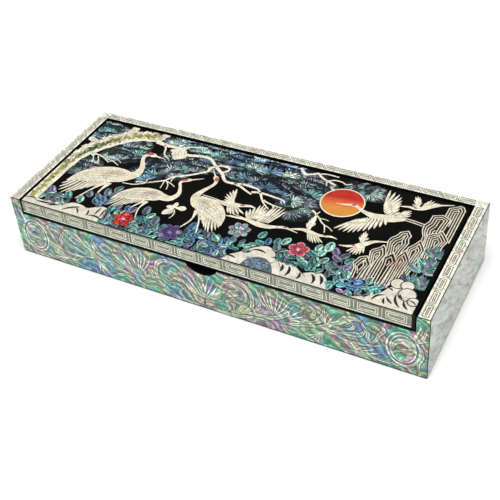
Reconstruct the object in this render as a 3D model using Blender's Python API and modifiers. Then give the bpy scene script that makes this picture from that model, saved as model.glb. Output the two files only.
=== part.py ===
"""Pen case: a lacquered wooden box whose lid lies between the end walls and swings on two brass pins.

Frame: +X along the length, +Y to the back, +Z up, origin under the middle of the case.
"""

import math

import bmesh
import bpy
from mathutils import Matrix, Vector

# The whole case
CASE_LENGTH = 0.260
CASE_DEPTH = 0.100
CASE_HEIGHT = 0.042

# The boards
END_WALL = 0.007
FRONT_WALL = 0.007
BACK_WALL = 0.006
BOTTOM_BOARD = 0.004
JOINT_GAP = 0.0003
BOARD_EDGE = 0.0004

# The lid and the room around it
LID_THICKNESS = 0.0096
LID_END_GAP = 0.0008
LID_BACK_GAP = 0.0018
LID_SEAT_GAP = 0.0004
LID_EDGE = 0.0005
LID_BACK_ROUND = 0.0013
LID_ROUND_STEPS = 7

# The thumb notch in the front wall
NOTCH_WIDTH = 0.0205
NOTCH_DEPTH = 0.0060

# The hinge pins
PIN_RADIUS = 0.0014
PIN_REACH = 0.009
PIN_DOME = 0.0003
PIN_CLEARANCE = 0.0003
ROUND_SIDES = 32

# Cutters reach past what they cut by this much
CUT_PAST = 0.002

LACQUER_BLACK = (0.012, 0.012, 0.014)
SHELL_GREEN = (0.30, 0.45, 0.38)
SHELL_GREY = (0.52, 0.55, 0.52)
BRASS_YELLOW = (0.62, 0.47, 0.20)

# Places that follow from the sizes
INNER_X = CASE_LENGTH / 2 - END_WALL
OUTER_Y = CASE_DEPTH / 2
BACK_FACE_Y = OUTER_Y - BACK_WALL
HALF_LID = LID_THICKNESS / 2
PIN_Y = BACK_FACE_Y - LID_BACK_GAP - HALF_LID
PIN_Z = CASE_HEIGHT - HALF_LID
FRONT_WALL_TOP = CASE_HEIGHT - LID_THICKNESS - LID_SEAT_GAP
LID_HALF_LENGTH = INNER_X - LID_END_GAP


def clear_scene():
    """Removes what the startup scene holds."""
    for obj in list(bpy.data.objects):
        bpy.data.objects.remove(obj)


def collection(name):
    """A new collection in the scene."""
    made = bpy.data.collections.new(name)
    bpy.context.scene.collection.children.link(made)
    return made


def finish(name, colour, roughness, metallic=0.0):
    """A Principled BSDF material of one colour."""
    material = bpy.data.materials.new(name)
    material.use_nodes = True
    shader = material.node_tree.nodes["Principled BSDF"]
    shader.inputs["Base Color"].default_value = (*colour, 1.0)
    shader.inputs["Roughness"].default_value = roughness
    shader.inputs["Metallic"].default_value = metallic
    return material


def add_object(name, data, where, place=(0, 0, 0)):
    """Puts a mesh or curve into a collection as a named object."""
    obj = bpy.data.objects.new(name, data)
    where.objects.link(obj)
    obj.location = place
    return obj


def block(name, low, high, where):
    """A box from its lowest to its highest corner, with its own origin in its middle."""
    low, high = Vector(low), Vector(high)
    shape = bmesh.new()
    bmesh.ops.create_cube(shape, size=1.0)
    bmesh.ops.scale(shape, vec=high - low, verts=shape.verts)
    mesh = bpy.data.meshes.new(name)
    shape.to_mesh(mesh)
    shape.free()
    return add_object(name, mesh, where, (low + high) / 2)


def rod(name, radius, length, turn, place, where, sides=ROUND_SIDES):
    """A closed cylinder along Z, turned by a matrix and set with its middle at place."""
    shape = bmesh.new()
    bmesh.ops.create_cone(
        shape, cap_ends=True, segments=sides, radius1=radius, radius2=radius, depth=length
    )
    bmesh.ops.transform(shape, matrix=turn, verts=shape.verts)
    mesh = bpy.data.meshes.new(name)
    shape.to_mesh(mesh)
    shape.free()
    return add_object(name, mesh, where, place)


def soften(obj, width):
    """Rounds the sharp edges with a two-step bevel."""
    bevel = obj.modifiers.new("edges", "BEVEL")
    bevel.width = width
    bevel.segments = 2
    bevel.limit_method = "ANGLE"
    bevel.angle_limit = math.radians(40)


def cut(obj, cutter):
    """Takes the cutter's shape out of obj."""
    boolean = obj.modifiers.new(cutter.name, "BOOLEAN")
    boolean.operation = "DIFFERENCE"
    boolean.solver = "EXACT"
    boolean.object = cutter


def hide_cutters(cutters):
    """Cutters shape other pieces and aren't pieces themselves."""
    for obj in cutters.objects:
        obj.hide_render = True
        obj.display_type = "WIRE"


ALONG_X = Matrix.Rotation(math.radians(90), 4, "Y")
ALONG_Y = Matrix.Rotation(math.radians(90), 4, "X")


def end_wall(side, parts, cutters, material):
    """An end wall runs the full depth and height, and carries a hinge pin in a bore."""
    name = "end_wall_right" if side > 0 else "end_wall_left"
    xs = sorted((side * INNER_X, side * CASE_LENGTH / 2))
    wall = block(name, (xs[0], -OUTER_Y, 0), (xs[1], OUTER_Y, CASE_HEIGHT), parts)
    soften(wall, BOARD_EDGE)
    middle = Vector((side * (INNER_X + END_WALL / 2), PIN_Y, PIN_Z))
    length = END_WALL + 2 * CUT_PAST
    bore = rod(f"{name}_bore", PIN_RADIUS + PIN_CLEARANCE, length, ALONG_X, middle, cutters)
    cut(wall, bore)
    wall.data.materials.append(material)


def back_wall(parts, material):
    """The back wall stands between the end walls at full height, and its top is the back rail."""
    half = INNER_X - JOINT_GAP
    wall = block("back_wall", (-half, BACK_FACE_Y, 0), (half, OUTER_Y, CASE_HEIGHT), parts)
    soften(wall, BOARD_EDGE)
    wall.data.materials.append(material)


def front_wall(parts, cutters, material):
    """The front wall ends under the lid and has the thumb notch, an arc through its top edge."""
    half = INNER_X - JOINT_GAP
    inner_y = -OUTER_Y + FRONT_WALL
    wall = block("front_wall", (-half, -OUTER_Y, 0), (half, inner_y, FRONT_WALL_TOP), parts)
    soften(wall, BOARD_EDGE)
    radius = (NOTCH_WIDTH**2 / 4 + NOTCH_DEPTH**2) / (2 * NOTCH_DEPTH)
    middle = Vector((0, -OUTER_Y + FRONT_WALL / 2, FRONT_WALL_TOP - NOTCH_DEPTH + radius))
    length = FRONT_WALL + 2 * CUT_PAST
    notch = rod("notch", radius, length, ALONG_Y, middle, cutters, 2 * ROUND_SIDES)
    cut(wall, notch)
    wall.data.materials.append(material)


def bottom_board(parts, material):
    """The bottom board lies between the four walls, flush with their undersides."""
    half_x = INNER_X - JOINT_GAP
    front_y = -OUTER_Y + FRONT_WALL + JOINT_GAP
    back_y = BACK_FACE_Y - JOINT_GAP
    board = block("bottom_board", (-half_x, front_y, 0), (half_x, back_y, BOTTOM_BOARD), parts)
    soften(board, BOARD_EDGE)
    board.data.materials.append(material)


def quarter_round(middle, radius, first):
    """Points of a quarter circle from the angle first on, counted from the back upwards."""
    angles = [math.radians(first + 90 * step / LID_ROUND_STEPS) for step in range(LID_ROUND_STEPS + 1)]
    return [(middle + radius * math.cos(angle), middle + radius * math.sin(angle)) for angle in angles]


def lid_profile():
    """The lid's section, front to back and up, about the pin.

    It is square in front. Behind, its lower half is a quarter circle about the pin, and its upper corner
    has a small round, which swings clear of the back wall.
    """
    front = -OUTER_Y - PIN_Y
    low = quarter_round(0, HALF_LID, -90)
    high = quarter_round(HALF_LID - LID_BACK_ROUND, LID_BACK_ROUND, 0)
    return [(front, HALF_LID), (front, -HALF_LID)] + low + high


def lid_board(parts):
    """The section carried along the lid's length as a filled curve, then made a mesh that can be cut."""
    outline = bpy.data.curves.new("lid_outline", "CURVE")
    outline.dimensions = "2D"
    outline.fill_mode = "BOTH"
    outline.extrude = LID_HALF_LENGTH
    points = lid_profile()
    spline = outline.splines.new("POLY")
    spline.points.add(len(points) - 1)
    for point, (back, up) in zip(spline.points, points):
        point.co = (back, up, 0, 1)
    spline.use_cyclic_u = True
    drawn = add_object("lid_outline", outline, parts, (0, PIN_Y, PIN_Z))
    # The outline's own X, Y and Z become the case's Y, Z and X.
    drawn.matrix_world = Matrix.Translation((0, PIN_Y, PIN_Z)) @ Matrix(
        ((0, 0, 1, 0), (1, 0, 0, 0), (0, 1, 0, 0), (0, 0, 0, 1))
    )
    bpy.context.view_layer.update()
    graph = bpy.context.evaluated_depsgraph_get()
    mesh = bpy.data.meshes.new_from_object(drawn.evaluated_get(graph))
    mesh.name = "lid_board"
    shape = bmesh.new()
    shape.from_mesh(mesh)
    bmesh.ops.remove_doubles(shape, verts=shape.verts, dist=1e-6)
    bmesh.ops.dissolve_limit(
        shape, angle_limit=math.radians(1), verts=shape.verts, edges=shape.edges
    )
    bmesh.ops.recalc_face_normals(shape, faces=shape.faces)
    shape.to_mesh(mesh)
    shape.free()
    lid = add_object("lid_board", mesh, parts)
    lid.matrix_world = drawn.matrix_world
    bpy.data.objects.remove(drawn)
    return lid


def lid(parts, cutters, material):
    """The lid has its origin on the hinge axis, and a blind bore in each end for a pin."""
    board = lid_board(parts)
    soften(board, LID_EDGE)
    depth = PIN_REACH + PIN_CLEARANCE - LID_END_GAP
    for side, word in ((-1, "left"), (1, "right")):
        middle = Vector((side * (LID_HALF_LENGTH - (depth - CUT_PAST) / 2), PIN_Y, PIN_Z))
        radius = PIN_RADIUS + PIN_CLEARANCE
        bore = rod(f"lid_bore_{word}", radius, depth + CUT_PAST, ALONG_X, middle, cutters)
        cut(board, bore)
    board.data.materials.append(material)


def hinge_pin(side, parts, material):
    """A turned brass pin from just proud of the end wall to its reach inside the lid."""
    name = "hinge_pin_right" if side > 0 else "hinge_pin_left"
    length = END_WALL + PIN_REACH
    profile = bpy.data.meshes.new(name)
    rim = PIN_RADIUS - PIN_DOME
    # The section at +X, top to bottom, with the domed outer end up.
    points = [
        (0, 0, PIN_DOME),
        (rim, 0, PIN_DOME * 0.8),
        (PIN_RADIUS, 0, 0),
        (PIN_RADIUS, 0, PIN_DOME - length),
        (rim, 0, -length),
        (0, 0, -length),
    ]
    profile.from_pydata(points, [(i, i + 1) for i in range(len(points) - 1)], [])
    pin = add_object(name, profile, parts, (side * CASE_LENGTH / 2, PIN_Y, PIN_Z))
    pin.rotation_euler = (0, side * math.radians(90), 0)
    screw = pin.modifiers.new("turn", "SCREW")
    screw.steps = ROUND_SIDES
    screw.render_steps = ROUND_SIDES
    screw.use_merge_vertices = True
    screw.merge_threshold = 0.00001
    screw.use_smooth_shade = False
    pin.data.materials.append(material)


def main():
    clear_scene()
    parts = collection("pen_case")
    cutters = collection("cutters")
    lacquer = finish("black_lacquer", LACQUER_BLACK, 0.2)
    green_shell = finish("abalone_veneer", SHELL_GREEN, 0.25)
    grey_shell = finish("grey_shell_veneer", SHELL_GREY, 0.3)
    brass = finish("brass", BRASS_YELLOW, 0.3, 1.0)
    front_wall(parts, cutters, green_shell)
    back_wall(parts, grey_shell)
    bottom_board(parts, lacquer)
    lid(parts, cutters, lacquer)
    for side in (-1, 1):
        end_wall(side, parts, cutters, grey_shell)
        hinge_pin(side, parts, brass)
    hide_cutters(cutters)


main()
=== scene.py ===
"""Looks of the shell-inlaid pen case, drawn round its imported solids.

The case is black lacquer over wood. Thin sheets of shell cover its front, ends, back and rails, and the
lid carries a picture of cut shell: pines, cranes, a red sun, rocks and a flower bank. Drawings are in
millimetres on the face that carries them, and meshes are in metres in the frame of the solids.
"""

import math

import bpy
import numpy as np
from mathutils import Matrix, Vector


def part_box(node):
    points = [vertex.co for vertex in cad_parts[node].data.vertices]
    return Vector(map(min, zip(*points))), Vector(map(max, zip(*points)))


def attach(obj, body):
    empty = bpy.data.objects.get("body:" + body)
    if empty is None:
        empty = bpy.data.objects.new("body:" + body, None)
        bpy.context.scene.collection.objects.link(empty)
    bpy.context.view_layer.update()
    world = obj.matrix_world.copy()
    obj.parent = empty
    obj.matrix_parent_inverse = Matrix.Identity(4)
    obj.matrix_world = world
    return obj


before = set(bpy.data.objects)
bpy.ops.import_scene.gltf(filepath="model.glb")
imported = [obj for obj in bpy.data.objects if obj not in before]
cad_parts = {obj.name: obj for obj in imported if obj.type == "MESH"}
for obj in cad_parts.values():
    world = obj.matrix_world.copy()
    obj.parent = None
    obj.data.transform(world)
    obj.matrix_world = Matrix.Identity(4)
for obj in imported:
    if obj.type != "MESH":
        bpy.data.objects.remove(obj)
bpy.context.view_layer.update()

bl_info = {
    "name": "Shell-inlaid Pen Case",
    "version": (1, 0, 0),
    "blender": (4, 5, 0),
    "location": "View3D > Sidebar > Pen Case",
    "description": "Veneers, fret borders and the inlaid lid of a lacquered pen case",
    "category": "Object",
}

MM = 0.001
TONE = "tone"

# Places read from the solids, in millimetres
CASE_LOW, CASE_HIGH = (np.array(corner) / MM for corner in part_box("end_wall_right"))
LID_LOW, LID_HIGH = (np.array(corner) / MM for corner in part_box("lid_board"))
BACK_LOW, BACK_HIGH = (np.array(corner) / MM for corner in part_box("back_wall"))
PIN_LOW, PIN_HIGH = (np.array(corner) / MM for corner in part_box("hinge_pin_right"))
FRONT_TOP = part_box("front_wall")[1][2] / MM
HALF_LENGTH, HALF_DEPTH, CASE_TOP = CASE_HIGH
WALL = CASE_HIGH[0] - CASE_LOW[0]
BACK_WALL = BACK_HIGH[1] - BACK_LOW[1]
PIN_Y = (PIN_LOW[1] + PIN_HIGH[1]) / 2
PIN_Z = (PIN_LOW[2] + PIN_HIGH[2]) / 2
PIN_RADIUS = (PIN_HIGH[2] - PIN_LOW[2]) / 2

# The rounding of the lid's upper back edge, as the solids have it
LID_ROUND = 1.3

# The thumb notch of the front wall, as the solids have it
NOTCH_WIDTH = 20.5
NOTCH_DEPTH = 6.0
NOTCH_RADIUS = (NOTCH_WIDTH**2 / 4 + NOTCH_DEPTH**2) / (2 * NOTCH_DEPTH)

# Sections that are carried along lines, from left to right: half widths and bevels across, and heights up
PLATE = ((1, 0, 0), (1, 0, 0.6), (1, -1, 1), (-1, 1, 1), (-1, 0, 0.6), (-1, 0, 0))
LINE = ((1, 0, 0), (1, -1, 1), (-1, 1, 1), (-1, 0, 0))
SQUARE = ((-1, 0, 0), (-1, 0, 1), (1, 0, 1), (1, 0, 0))
# A bevel's width, and its most as a share of the half width
BEVEL, BEVEL_SHARE = 0.10, 0.4
# How deep the inlay's undersides lie in the board
SUNK = -0.02
# The least share of its half width that a blade has at its ends
BLADE_END = 0.04
# The angle that a disc's first and last station keep from its poles, and its stations
DISC_POLE, DISC_STATIONS = 0.12, 13


def srgb(red, green, blue):
    """A screen colour from 0 to 255 as a linear one: over 12.92 in the darks, and a power of 2.4 above."""
    values = np.array([red, green, blue]) / 255
    return tuple(np.where(values <= 0.04045, values / 12.92, ((values + 0.055) / 1.055) ** 2.4))


def length(name, description, default):
    """A size in metres that a user may change."""
    return bpy.props.FloatProperty(
        name=name, description=description, default=default, min=0.0, precision=5,
        unit="LENGTH", subtype="DISTANCE",
    )


def colour(name, description, red, green, blue):
    """A colour that a user may change."""
    return bpy.props.FloatVectorProperty(
        name=name, description=description, default=srgb(red, green, blue), min=0.0, max=1.0,
        size=3, subtype="COLOR",
    )


class PenCaseSizes(bpy.types.PropertyGroup):
    """Sizes of the shell work."""

    sheet: length("Sheet", "Thickness of the shell sheets", 0.00015)
    sheet_inset: length("Sheet inset", "Bare lacquer between a sheet and the board's edge", 0.00035)
    foot_line: length("Foot line", "Bare lacquer below the sheets of the sides", 0.0009)
    band_low: length("Band foot", "Bare lacquer below the band on the lid's front edge", 0.0010)
    band_pitch: length("Band pitch", "Length of one fret on the lid's front band", 0.0155)
    rail_pitch: length("Rail pitch", "Length of one fret on the rails", 0.0104)
    fret_line: length("Fret line", "Width of the fret lines", 0.00060)
    fret_step: length("Fret step", "Distance between the nested frames of a fret", 0.0012)
    needle: length("Needle", "Length of a pine needle", 0.0080)
    leaf: length("Leaf", "Length of a leaf in the flower bank", 0.0056)
    sun_radius: length("Sun", "Radius of the sun", 0.0122)
    rock_step: length("Rock step", "Distance between the nested lines of a rock", 0.0014)
    rock_line: length("Rock line", "Width of the lines of a rock", 0.00074)


class PenCaseColours(bpy.types.PropertyGroup):
    """Colours of the lacquer, the shells and the brass."""

    lacquer: colour("Lacquer", "Black lacquer", 13, 13, 12)
    brass: colour("Brass", "Hinge pins", 190, 160, 90)
    rail: colour("Rail shell", "Pale shell of the rails", 243, 240, 225)
    band: colour("Band shell", "Grey-green shell of the lid's front band", 130, 135, 115)
    side: colour("Side shell", "Grey shell of the ends and the back", 157, 162, 152)
    fret: colour("Fret", "Lines of the frets", 68, 61, 42)
    pearl: colour("Pearl", "Light lines of the frets and scrolls", 226, 226, 208)
    cream: colour("Cream shell", "Cranes, branches and rocks", 232, 224, 203)
    straw: colour("Straw shell", "Inner parts of the cranes", 222, 213, 189)
    bank: colour("Bank shell", "Banks and hills along the front", 213, 208, 191)
    ink: colour("Ink", "Brush strokes on the banks", 34, 36, 46)
    bark: colour("Bark", "Trunk and stubs of the pine", 204, 200, 158)
    engraving: colour("Engraving", "Lacquer in the engraved lines", 40, 34, 26)
    moss: colour("Moss", "Green stripe of the trunk", 120, 124, 62)
    teal: colour("Teal shell", "Leaves and needles", 84, 142, 136)
    blue: colour("Blue shell", "Leaves and needles", 80, 118, 148)
    slate: colour("Slate shell", "Needles and far leaves", 98, 115, 121)
    mint: colour("Mint shell", "Light leaves", 138, 184, 168)
    violet: colour("Violet shell", "Leaves and petals", 124, 116, 146)
    blush: colour("Blush shell", "Petals and light leaves", 200, 172, 182)
    crimson: colour("Crimson", "Red lacquer of the sun and a flower", 180, 46, 38)
    crown: colour("Crown", "Crowns of the cranes", 168, 98, 90)
    rose: colour("Rose", "A red flower", 178, 52, 74)
    sand: colour("Sand shell", "Scrolls of the front", 172, 170, 144)
    sage: colour("Sage shell", "Scrolls of the front", 128, 162, 138)
    coral: colour("Coral shell", "Scrolls of the front", 186, 160, 148)
    ember: colour("Ember", "Middle of the sun", 212, 100, 56)
    vermilion: colour("Vermilion", "Orange red of a flower", 210, 62, 50)
    amber: colour("Amber", "Lower part of the sun", 208, 139, 63)
    plum: colour("Plum", "Dark flower", 74, 54, 112)
    scroll_edge: colour("Scroll edge", "Outline of the scrollwork", 34, 50, 46)


def sizes():
    """The shell work's sizes in millimetres."""
    group = bpy.context.scene.pen_case_sizes
    return {name: getattr(group, name) / MM for name in group.__annotations__}


def colours():
    """The colours as arrays."""
    group = bpy.context.scene.pen_case_colours
    return {name: np.array(getattr(group, name)) for name in group.__annotations__}


class Face:
    """A flat face to draw on: a point is origin + u * right + v * up + height * (right x up)."""

    def __init__(self, origin, right, up):
        self.origin = np.array(origin, float)
        self.axes = np.array([right, up, np.cross(right, up)], float)

    def place(self, plan, height):
        """Plan points and heights in millimetres as points in metres."""
        drawn = np.concatenate([plan, height[..., None]], axis=-1)
        return (self.origin + drawn @ self.axes) * MM


class LidTop(Face):
    """The lid's upper face: flat, then round its back edge at the rounding's radius + height.

    The picture is cut off square at its border, so u and v are held inside it.
    """

    LEFT, RIGHT = LID_LOW[0] + 1.0, LID_HIGH[0] - 2.0
    FRONT, BACK = LID_LOW[1] + 0.35, LID_HIGH[1] - 0.7

    def __init__(self):
        super().__init__((0, 0, LID_HIGH[2]), (1, 0, 0), (0, 1, 0))

    def place(self, plan, height):
        """Plan points held inside the border, and lowered near the back edge by the rounding's arc."""
        u = np.clip(plan[..., 0], self.LEFT, self.RIGHT)
        v = np.clip(plan[..., 1], self.FRONT, self.BACK)
        past = np.maximum(v - (LID_HIGH[1] - LID_ROUND), 0)
        drop = (LID_ROUND + height) - np.sqrt((LID_ROUND + height) ** 2 - past**2)
        return super().place(np.stack([u, v], axis=-1), height - drop)


class Drawing:
    """Closed bodies drawn on one face, gathered as arrays and put into one mesh."""

    def __init__(self, face):
        self.face = face
        self.points = []
        self.quads = []
        self.caps = []
        self.tones = []
        self.count = 0

    def carry(self, centres, sides, halves, tops, tones, section, loop=False):
        """Carries a section along n lines of m stations.

        A point is centre + side * (half * across + bevel * inset), at the height sunk + (top - sunk) * up.
        The sections of neighbouring stations are joined by quads, and the ends are capped unless the
        line is a loop.
        """
        n, m = centres.shape[:2]
        k = len(section)
        across, inset, up = np.array(section, float).T
        halves = spread_over(halves, n, m)[..., None]
        tops = spread_over(tops, n, m)
        reach = halves * across + np.minimum(BEVEL, BEVEL_SHARE * np.abs(halves)) * inset
        plan = centres[:, :, None] + sides[:, :, None] * reach[..., None]
        height = SUNK + (tops - SUNK)[..., None] * up
        self.points.append(self.face.place(plan, height).reshape(-1, 3))
        self.tones.append(np.repeat(spread_over(tones, n, m, 3).reshape(-1, 3), k, axis=0))
        ring = self.count + np.arange(n * m * k).reshape(n, m, k)
        after = np.roll(ring, -1, axis=1) if loop else ring[:, 1:]
        before = ring if loop else ring[:, :-1]
        quads = [before, np.roll(before, -1, axis=2), np.roll(after, -1, axis=2), after]
        self.quads.append(np.stack(quads, axis=-1).reshape(-1, 4))
        if not loop:
            self.caps.extend(ring[:, 0, ::-1].tolist() + ring[:, -1].tolist())
        self.count += n * m * k

    def lines(self, paths, halves, tops, tones, section=LINE, loop=False):
        """Carries a section along paths with mitred corners.

        Where there is one path only, the half widths and the tones may be given for each of its stations.
        """
        paths = np.asarray(paths, float)
        if paths.ndim == 2:
            paths, halves = paths[None], np.atleast_2d(halves)
            tones = np.reshape(tones, (1, -1, 3))
        self.carry(paths, mitred(paths, loop), halves, tops, tones, section, loop)

    def strip(self, left, right, tops, tones):
        """Fills between two edges with as many points. They change places if they run the wrong way round."""
        u, v = np.concatenate([right, left[::-1]]).T
        if (u * np.roll(v, -1) - v * np.roll(u, -1)).sum() < 0:
            left, right = right, left
        width = np.maximum(np.linalg.norm(left - right, axis=1), 1e-6)
        sides = (left - right) / width[:, None]
        self.carry(((left + right) / 2)[None], sides[None], (width / 2)[None], tops, tones, PLATE)

    def bands(self, along, lower, upper, tops, tones):
        """Fills between a lower and an upper edge, both given over the stations along."""
        along, lower, upper = np.broadcast_arrays(*(np.atleast_2d(edge) for edge in (along, lower, upper)))
        centres = np.stack([along, (lower + upper) / 2], axis=-1)
        sides = np.broadcast_to([0.0, 1.0], centres.shape)
        self.carry(centres, sides, (upper - lower) / 2, tops, tones, PLATE)

    def discs(self, centres, radii, tops, tones, squash=1.0):
        """Round plates: at the angle a the station is at -r cos a, with the half width r sin a * squash."""
        centres = np.atleast_2d(np.asarray(centres, float))
        radii = np.broadcast_to(radii, len(centres))
        angle = np.linspace(DISC_POLE, math.pi - DISC_POLE, DISC_STATIONS)
        along = centres[:, :1] - radii[:, None] * np.cos(angle)
        half = radii[:, None] * np.sin(angle) * squash
        middle = centres[:, 1:]
        self.bands(along, middle - half, middle + half, tops, tones)

    def blades(self, starts, ends, halves, tops, tones, shape, bend=0.0, stations=7, section=PLATE):
        """Leaves, petals, feathers and needles: a chord bent sideways by bend * 4 s (1 - s) of its length.

        The half width at s is the given one times shape(s), and stations crowd towards the ends.
        """
        s = (1 - np.cos(np.linspace(0, math.pi, stations))) / 2
        starts, ends = np.atleast_2d(starts), np.atleast_2d(ends)
        chord = ends - starts
        normal = np.stack([-chord[:, 1], chord[:, 0]], axis=-1)
        bow = (spread_over(bend, len(chord), 1) * 4 * s * (1 - s))[..., None]
        paths = starts[:, None] + chord[:, None] * s[:, None] + normal[:, None] * bow
        widths = spread_over(halves, len(chord), 1) * np.maximum(shape(s), BLADE_END)
        self.lines(paths, widths, tops, tones, section)

    def edged(self, starts, ends, halves, tops, tones, shape, edge, bend=0.0):
        """Blades on dark ones. The edge is how much wider and how much lower those are, and their tones."""
        wider, lower, dark = edge
        self.blades(starts, ends, halves + wider, tops - lower, dark, shape, bend)
        self.blades(starts, ends, halves, tops, tones, shape, bend)

    def strokes(self, starts, ends, halves, tops, tones, bend=0.0):
        """Thin engraved lines, swelling in the middle."""
        self.blades(starts, ends, halves, tops, tones, stroke_shape, bend, 5, LINE)

    def make(self, name, body, slot, material):
        """Puts what is drawn into one mesh object that rides on a body."""
        mesh = bpy.data.meshes.new(name)
        quads = np.concatenate(self.quads).tolist()
        mesh.from_pydata(np.concatenate(self.points), [], quads + self.caps)
        tones = np.concatenate(self.tones)
        attribute = mesh.attributes.new(TONE, "FLOAT_COLOR", "POINT")
        attribute.data.foreach_set("color", np.column_stack([tones, np.ones(len(tones))]).ravel())
        mesh.materials.append(material)
        if mesh.validate():
            raise RuntimeError(f"{name} has faces that aren't valid")
        piece = placed(name, mesh)
        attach(piece, body)


def spread_over(values, n, m, size=None):
    """Values for all lines, for each line or for each station, as one array for each station."""
    values = np.asarray(values, float)
    if size is None:
        return np.broadcast_to(values[:, None] if values.ndim == 1 else values, (n, m))
    if values.ndim < 3:
        values = values.reshape((-1, 1, size))
    return np.broadcast_to(values, (n, m, size))


def mitred(paths, loop=False):
    """The sides of lines of stations: at a corner the mean of both normals over its cosine."""
    steps = np.diff(np.concatenate([paths, paths[:, :1]], axis=1) if loop else paths, axis=1)
    steps /= np.maximum(np.linalg.norm(steps, axis=2, keepdims=True), 1e-9)
    if loop:
        before, after = np.roll(steps, 1, axis=1), steps
    else:
        before = np.concatenate([steps[:, :1], steps], axis=1)
        after = np.concatenate([steps, steps[:, -1:]], axis=1)
    cosine = np.maximum((before * after).sum(axis=2, keepdims=True), -0.6)
    mean = (before + after) / (1 + cosine)
    return np.stack([-mean[..., 1], mean[..., 0]], axis=-1)


def smooth(points, count):
    """A Catmull-Rom curve through the points, read at count even steps of its parameter."""
    points = np.asarray(points, float)
    padded = np.concatenate([2 * points[:1] - points[1:2], points, 2 * points[-1:] - points[-2:-1]])
    at = np.linspace(0, len(points) - 1, count)
    cell = np.minimum(at.astype(int), len(points) - 2)
    t = (at - cell)[:, None]
    p0, p1, p2, p3 = (padded[cell + i] for i in range(4))
    curve = 2 * p1 + (p2 - p0) * t + (2 * p0 - 5 * p1 + 4 * p2 - p3) * t**2
    return (curve + (3 * p1 - p0 - 3 * p2 + p3) * t**3) / 2


def resampled(values, count):
    """Numbers or points, read at count even steps with straight lines between them."""
    values = np.asarray(values, float)
    at = np.linspace(0, len(values) - 1, count)
    columns = values.reshape(len(values), -1).T
    read = np.stack([np.interp(at, np.arange(len(values)), column) for column in columns], axis=-1)
    return read.reshape(count, *values.shape[1:])


def between(low, high, share):
    """Straight mixing of two values or points by a share from 0 to 1."""
    share = np.asarray(share, float)
    if np.ndim(low):
        share = share[..., None]
    return np.asarray(low) * (1 - share) + np.asarray(high) * share


def ray(angle):
    """Unit vectors at angles in radians, counted from u towards v."""
    return np.stack([np.cos(angle), np.sin(angle)], axis=-1)


def leaf_shape(s):
    """A leaf's outline: the sine of the way along to the power 0.8, which fills it out a little."""
    return np.sin(math.pi * s) ** 0.8


def feather_shape(s):
    """A feather's outline: it widens evenly from its root, times a curve that draws it in to a point."""
    return (0.38 + 0.72 * s) * np.maximum(1 - s**2.6, 0) ** 0.7


def beak_shape(s):
    """A beak's outline: narrowing evenly from its root to its tip."""
    return 1 - 0.85 * s


def needle_shape(s):
    """A needle's outline: widening evenly from its root, times a curve that makes its tip blunt."""
    return (0.45 + 0.55 * s) * np.sqrt(np.maximum(1 - s**8, 0))


def petal_shape(s):
    """A petal's outline: a sine whose peak is moved towards the rim."""
    return np.sin(math.pi * s**1.6) ** 0.7


def oval_shape(s):
    """An oval's outline: a half circle, a little broader towards its root."""
    return np.sqrt(np.maximum(1 - (2 * s - 1) ** 2, 0)) * (1.12 - 0.24 * s)


def stroke_shape(s):
    """A brush stroke's outline: a sine that stops short of both its ends."""
    return np.sin(math.pi * (0.08 + 0.84 * s))


def pick(rng, choices, count, spread=0.12):
    """A random choice of tones, each made a little lighter or darker."""
    chosen = np.array(choices)[rng.integers(len(choices), size=count)]
    return np.clip(chosen * (1 + rng.uniform(-spread, spread, (count, 1))), 0, 1)


# Materials


def node(tree, kind, inputs=(), **settings):
    """Adds a node. Inputs are pairs of a socket and a number, a colour or another node's output."""
    made = tree.nodes.new(kind)
    for key, value in settings.items():
        setattr(made, key, value)
    for socket, value in inputs:
        if isinstance(value, bpy.types.NodeSocket):
            tree.links.new(value, made.inputs[socket])
        else:
            made.inputs[socket].default_value = value
    return made


def mixed(tree, factor, first, second, blend="MIX"):
    """The colour output of a Mix node."""
    made = node(
        tree, "ShaderNodeMix", ((0, factor), (6, first), (7, second)),
        data_type="RGBA", blend_type=blend,
    )
    return made.outputs[2]


def ramp(tree, factor, stops):
    """The colour output of a colour ramp with stops of a position and a colour or a grey."""
    made = node(tree, "ShaderNodeValToRGB", (("Fac", factor),))
    elements = made.color_ramp.elements
    elements.remove(elements[1])
    elements[0].position = stops[0][0]
    for position, _ in stops[1:]:
        elements.new(position)
    for element, (_, tone) in zip(elements, stops):
        element.color = (*tone, 1) if np.ndim(tone) else (tone, tone, tone, 1)
    return made.outputs["Color"]


def noise(tree, vector, scale, detail=2.0, distortion=0.0, output="Fac"):
    """An output of a noise node that is read at a vector."""
    return node(
        tree, "ShaderNodeTexNoise",
        (("Vector", vector), ("Scale", scale), ("Detail", detail), ("Distortion", distortion)),
    ).outputs[output]


def stretched(tree, place, turn, stretch):
    """Coordinates for streaks: the pattern is stretched along its own axes, and then turned."""
    return node(
        tree, "ShaderNodeMapping", (("Vector", place), ("Rotation", turn), ("Scale", stretch)),
        vector_type="TEXTURE",
    ).outputs["Vector"]


def warped(tree, place, scale, reach):
    """Coordinates moved by a noise, up to about the reach."""
    cloud = noise(tree, place, scale, output="Color")
    return node(
        tree, "ShaderNodeVectorMath", ((0, cloud), (1, (reach, reach, reach)), (2, place)),
        operation="MULTIPLY_ADD",
    ).outputs["Vector"]


def spread_noise(tree, value, middle, reach):
    """The usual range of a noise, 0.35 to 0.65, as a range about the middle, by the reach to either side."""
    return node(
        tree, "ShaderNodeMapRange",
        (("Value", value), ("From Min", 0.35), ("From Max", 0.65),
         ("To Min", middle - reach), ("To Max", middle + reach)),
    ).outputs["Result"]


def own_tone(tree):
    """The tone that each body carries in its mesh."""
    return node(tree, "ShaderNodeAttribute", attribute_name=TONE).outputs["Color"]


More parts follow.
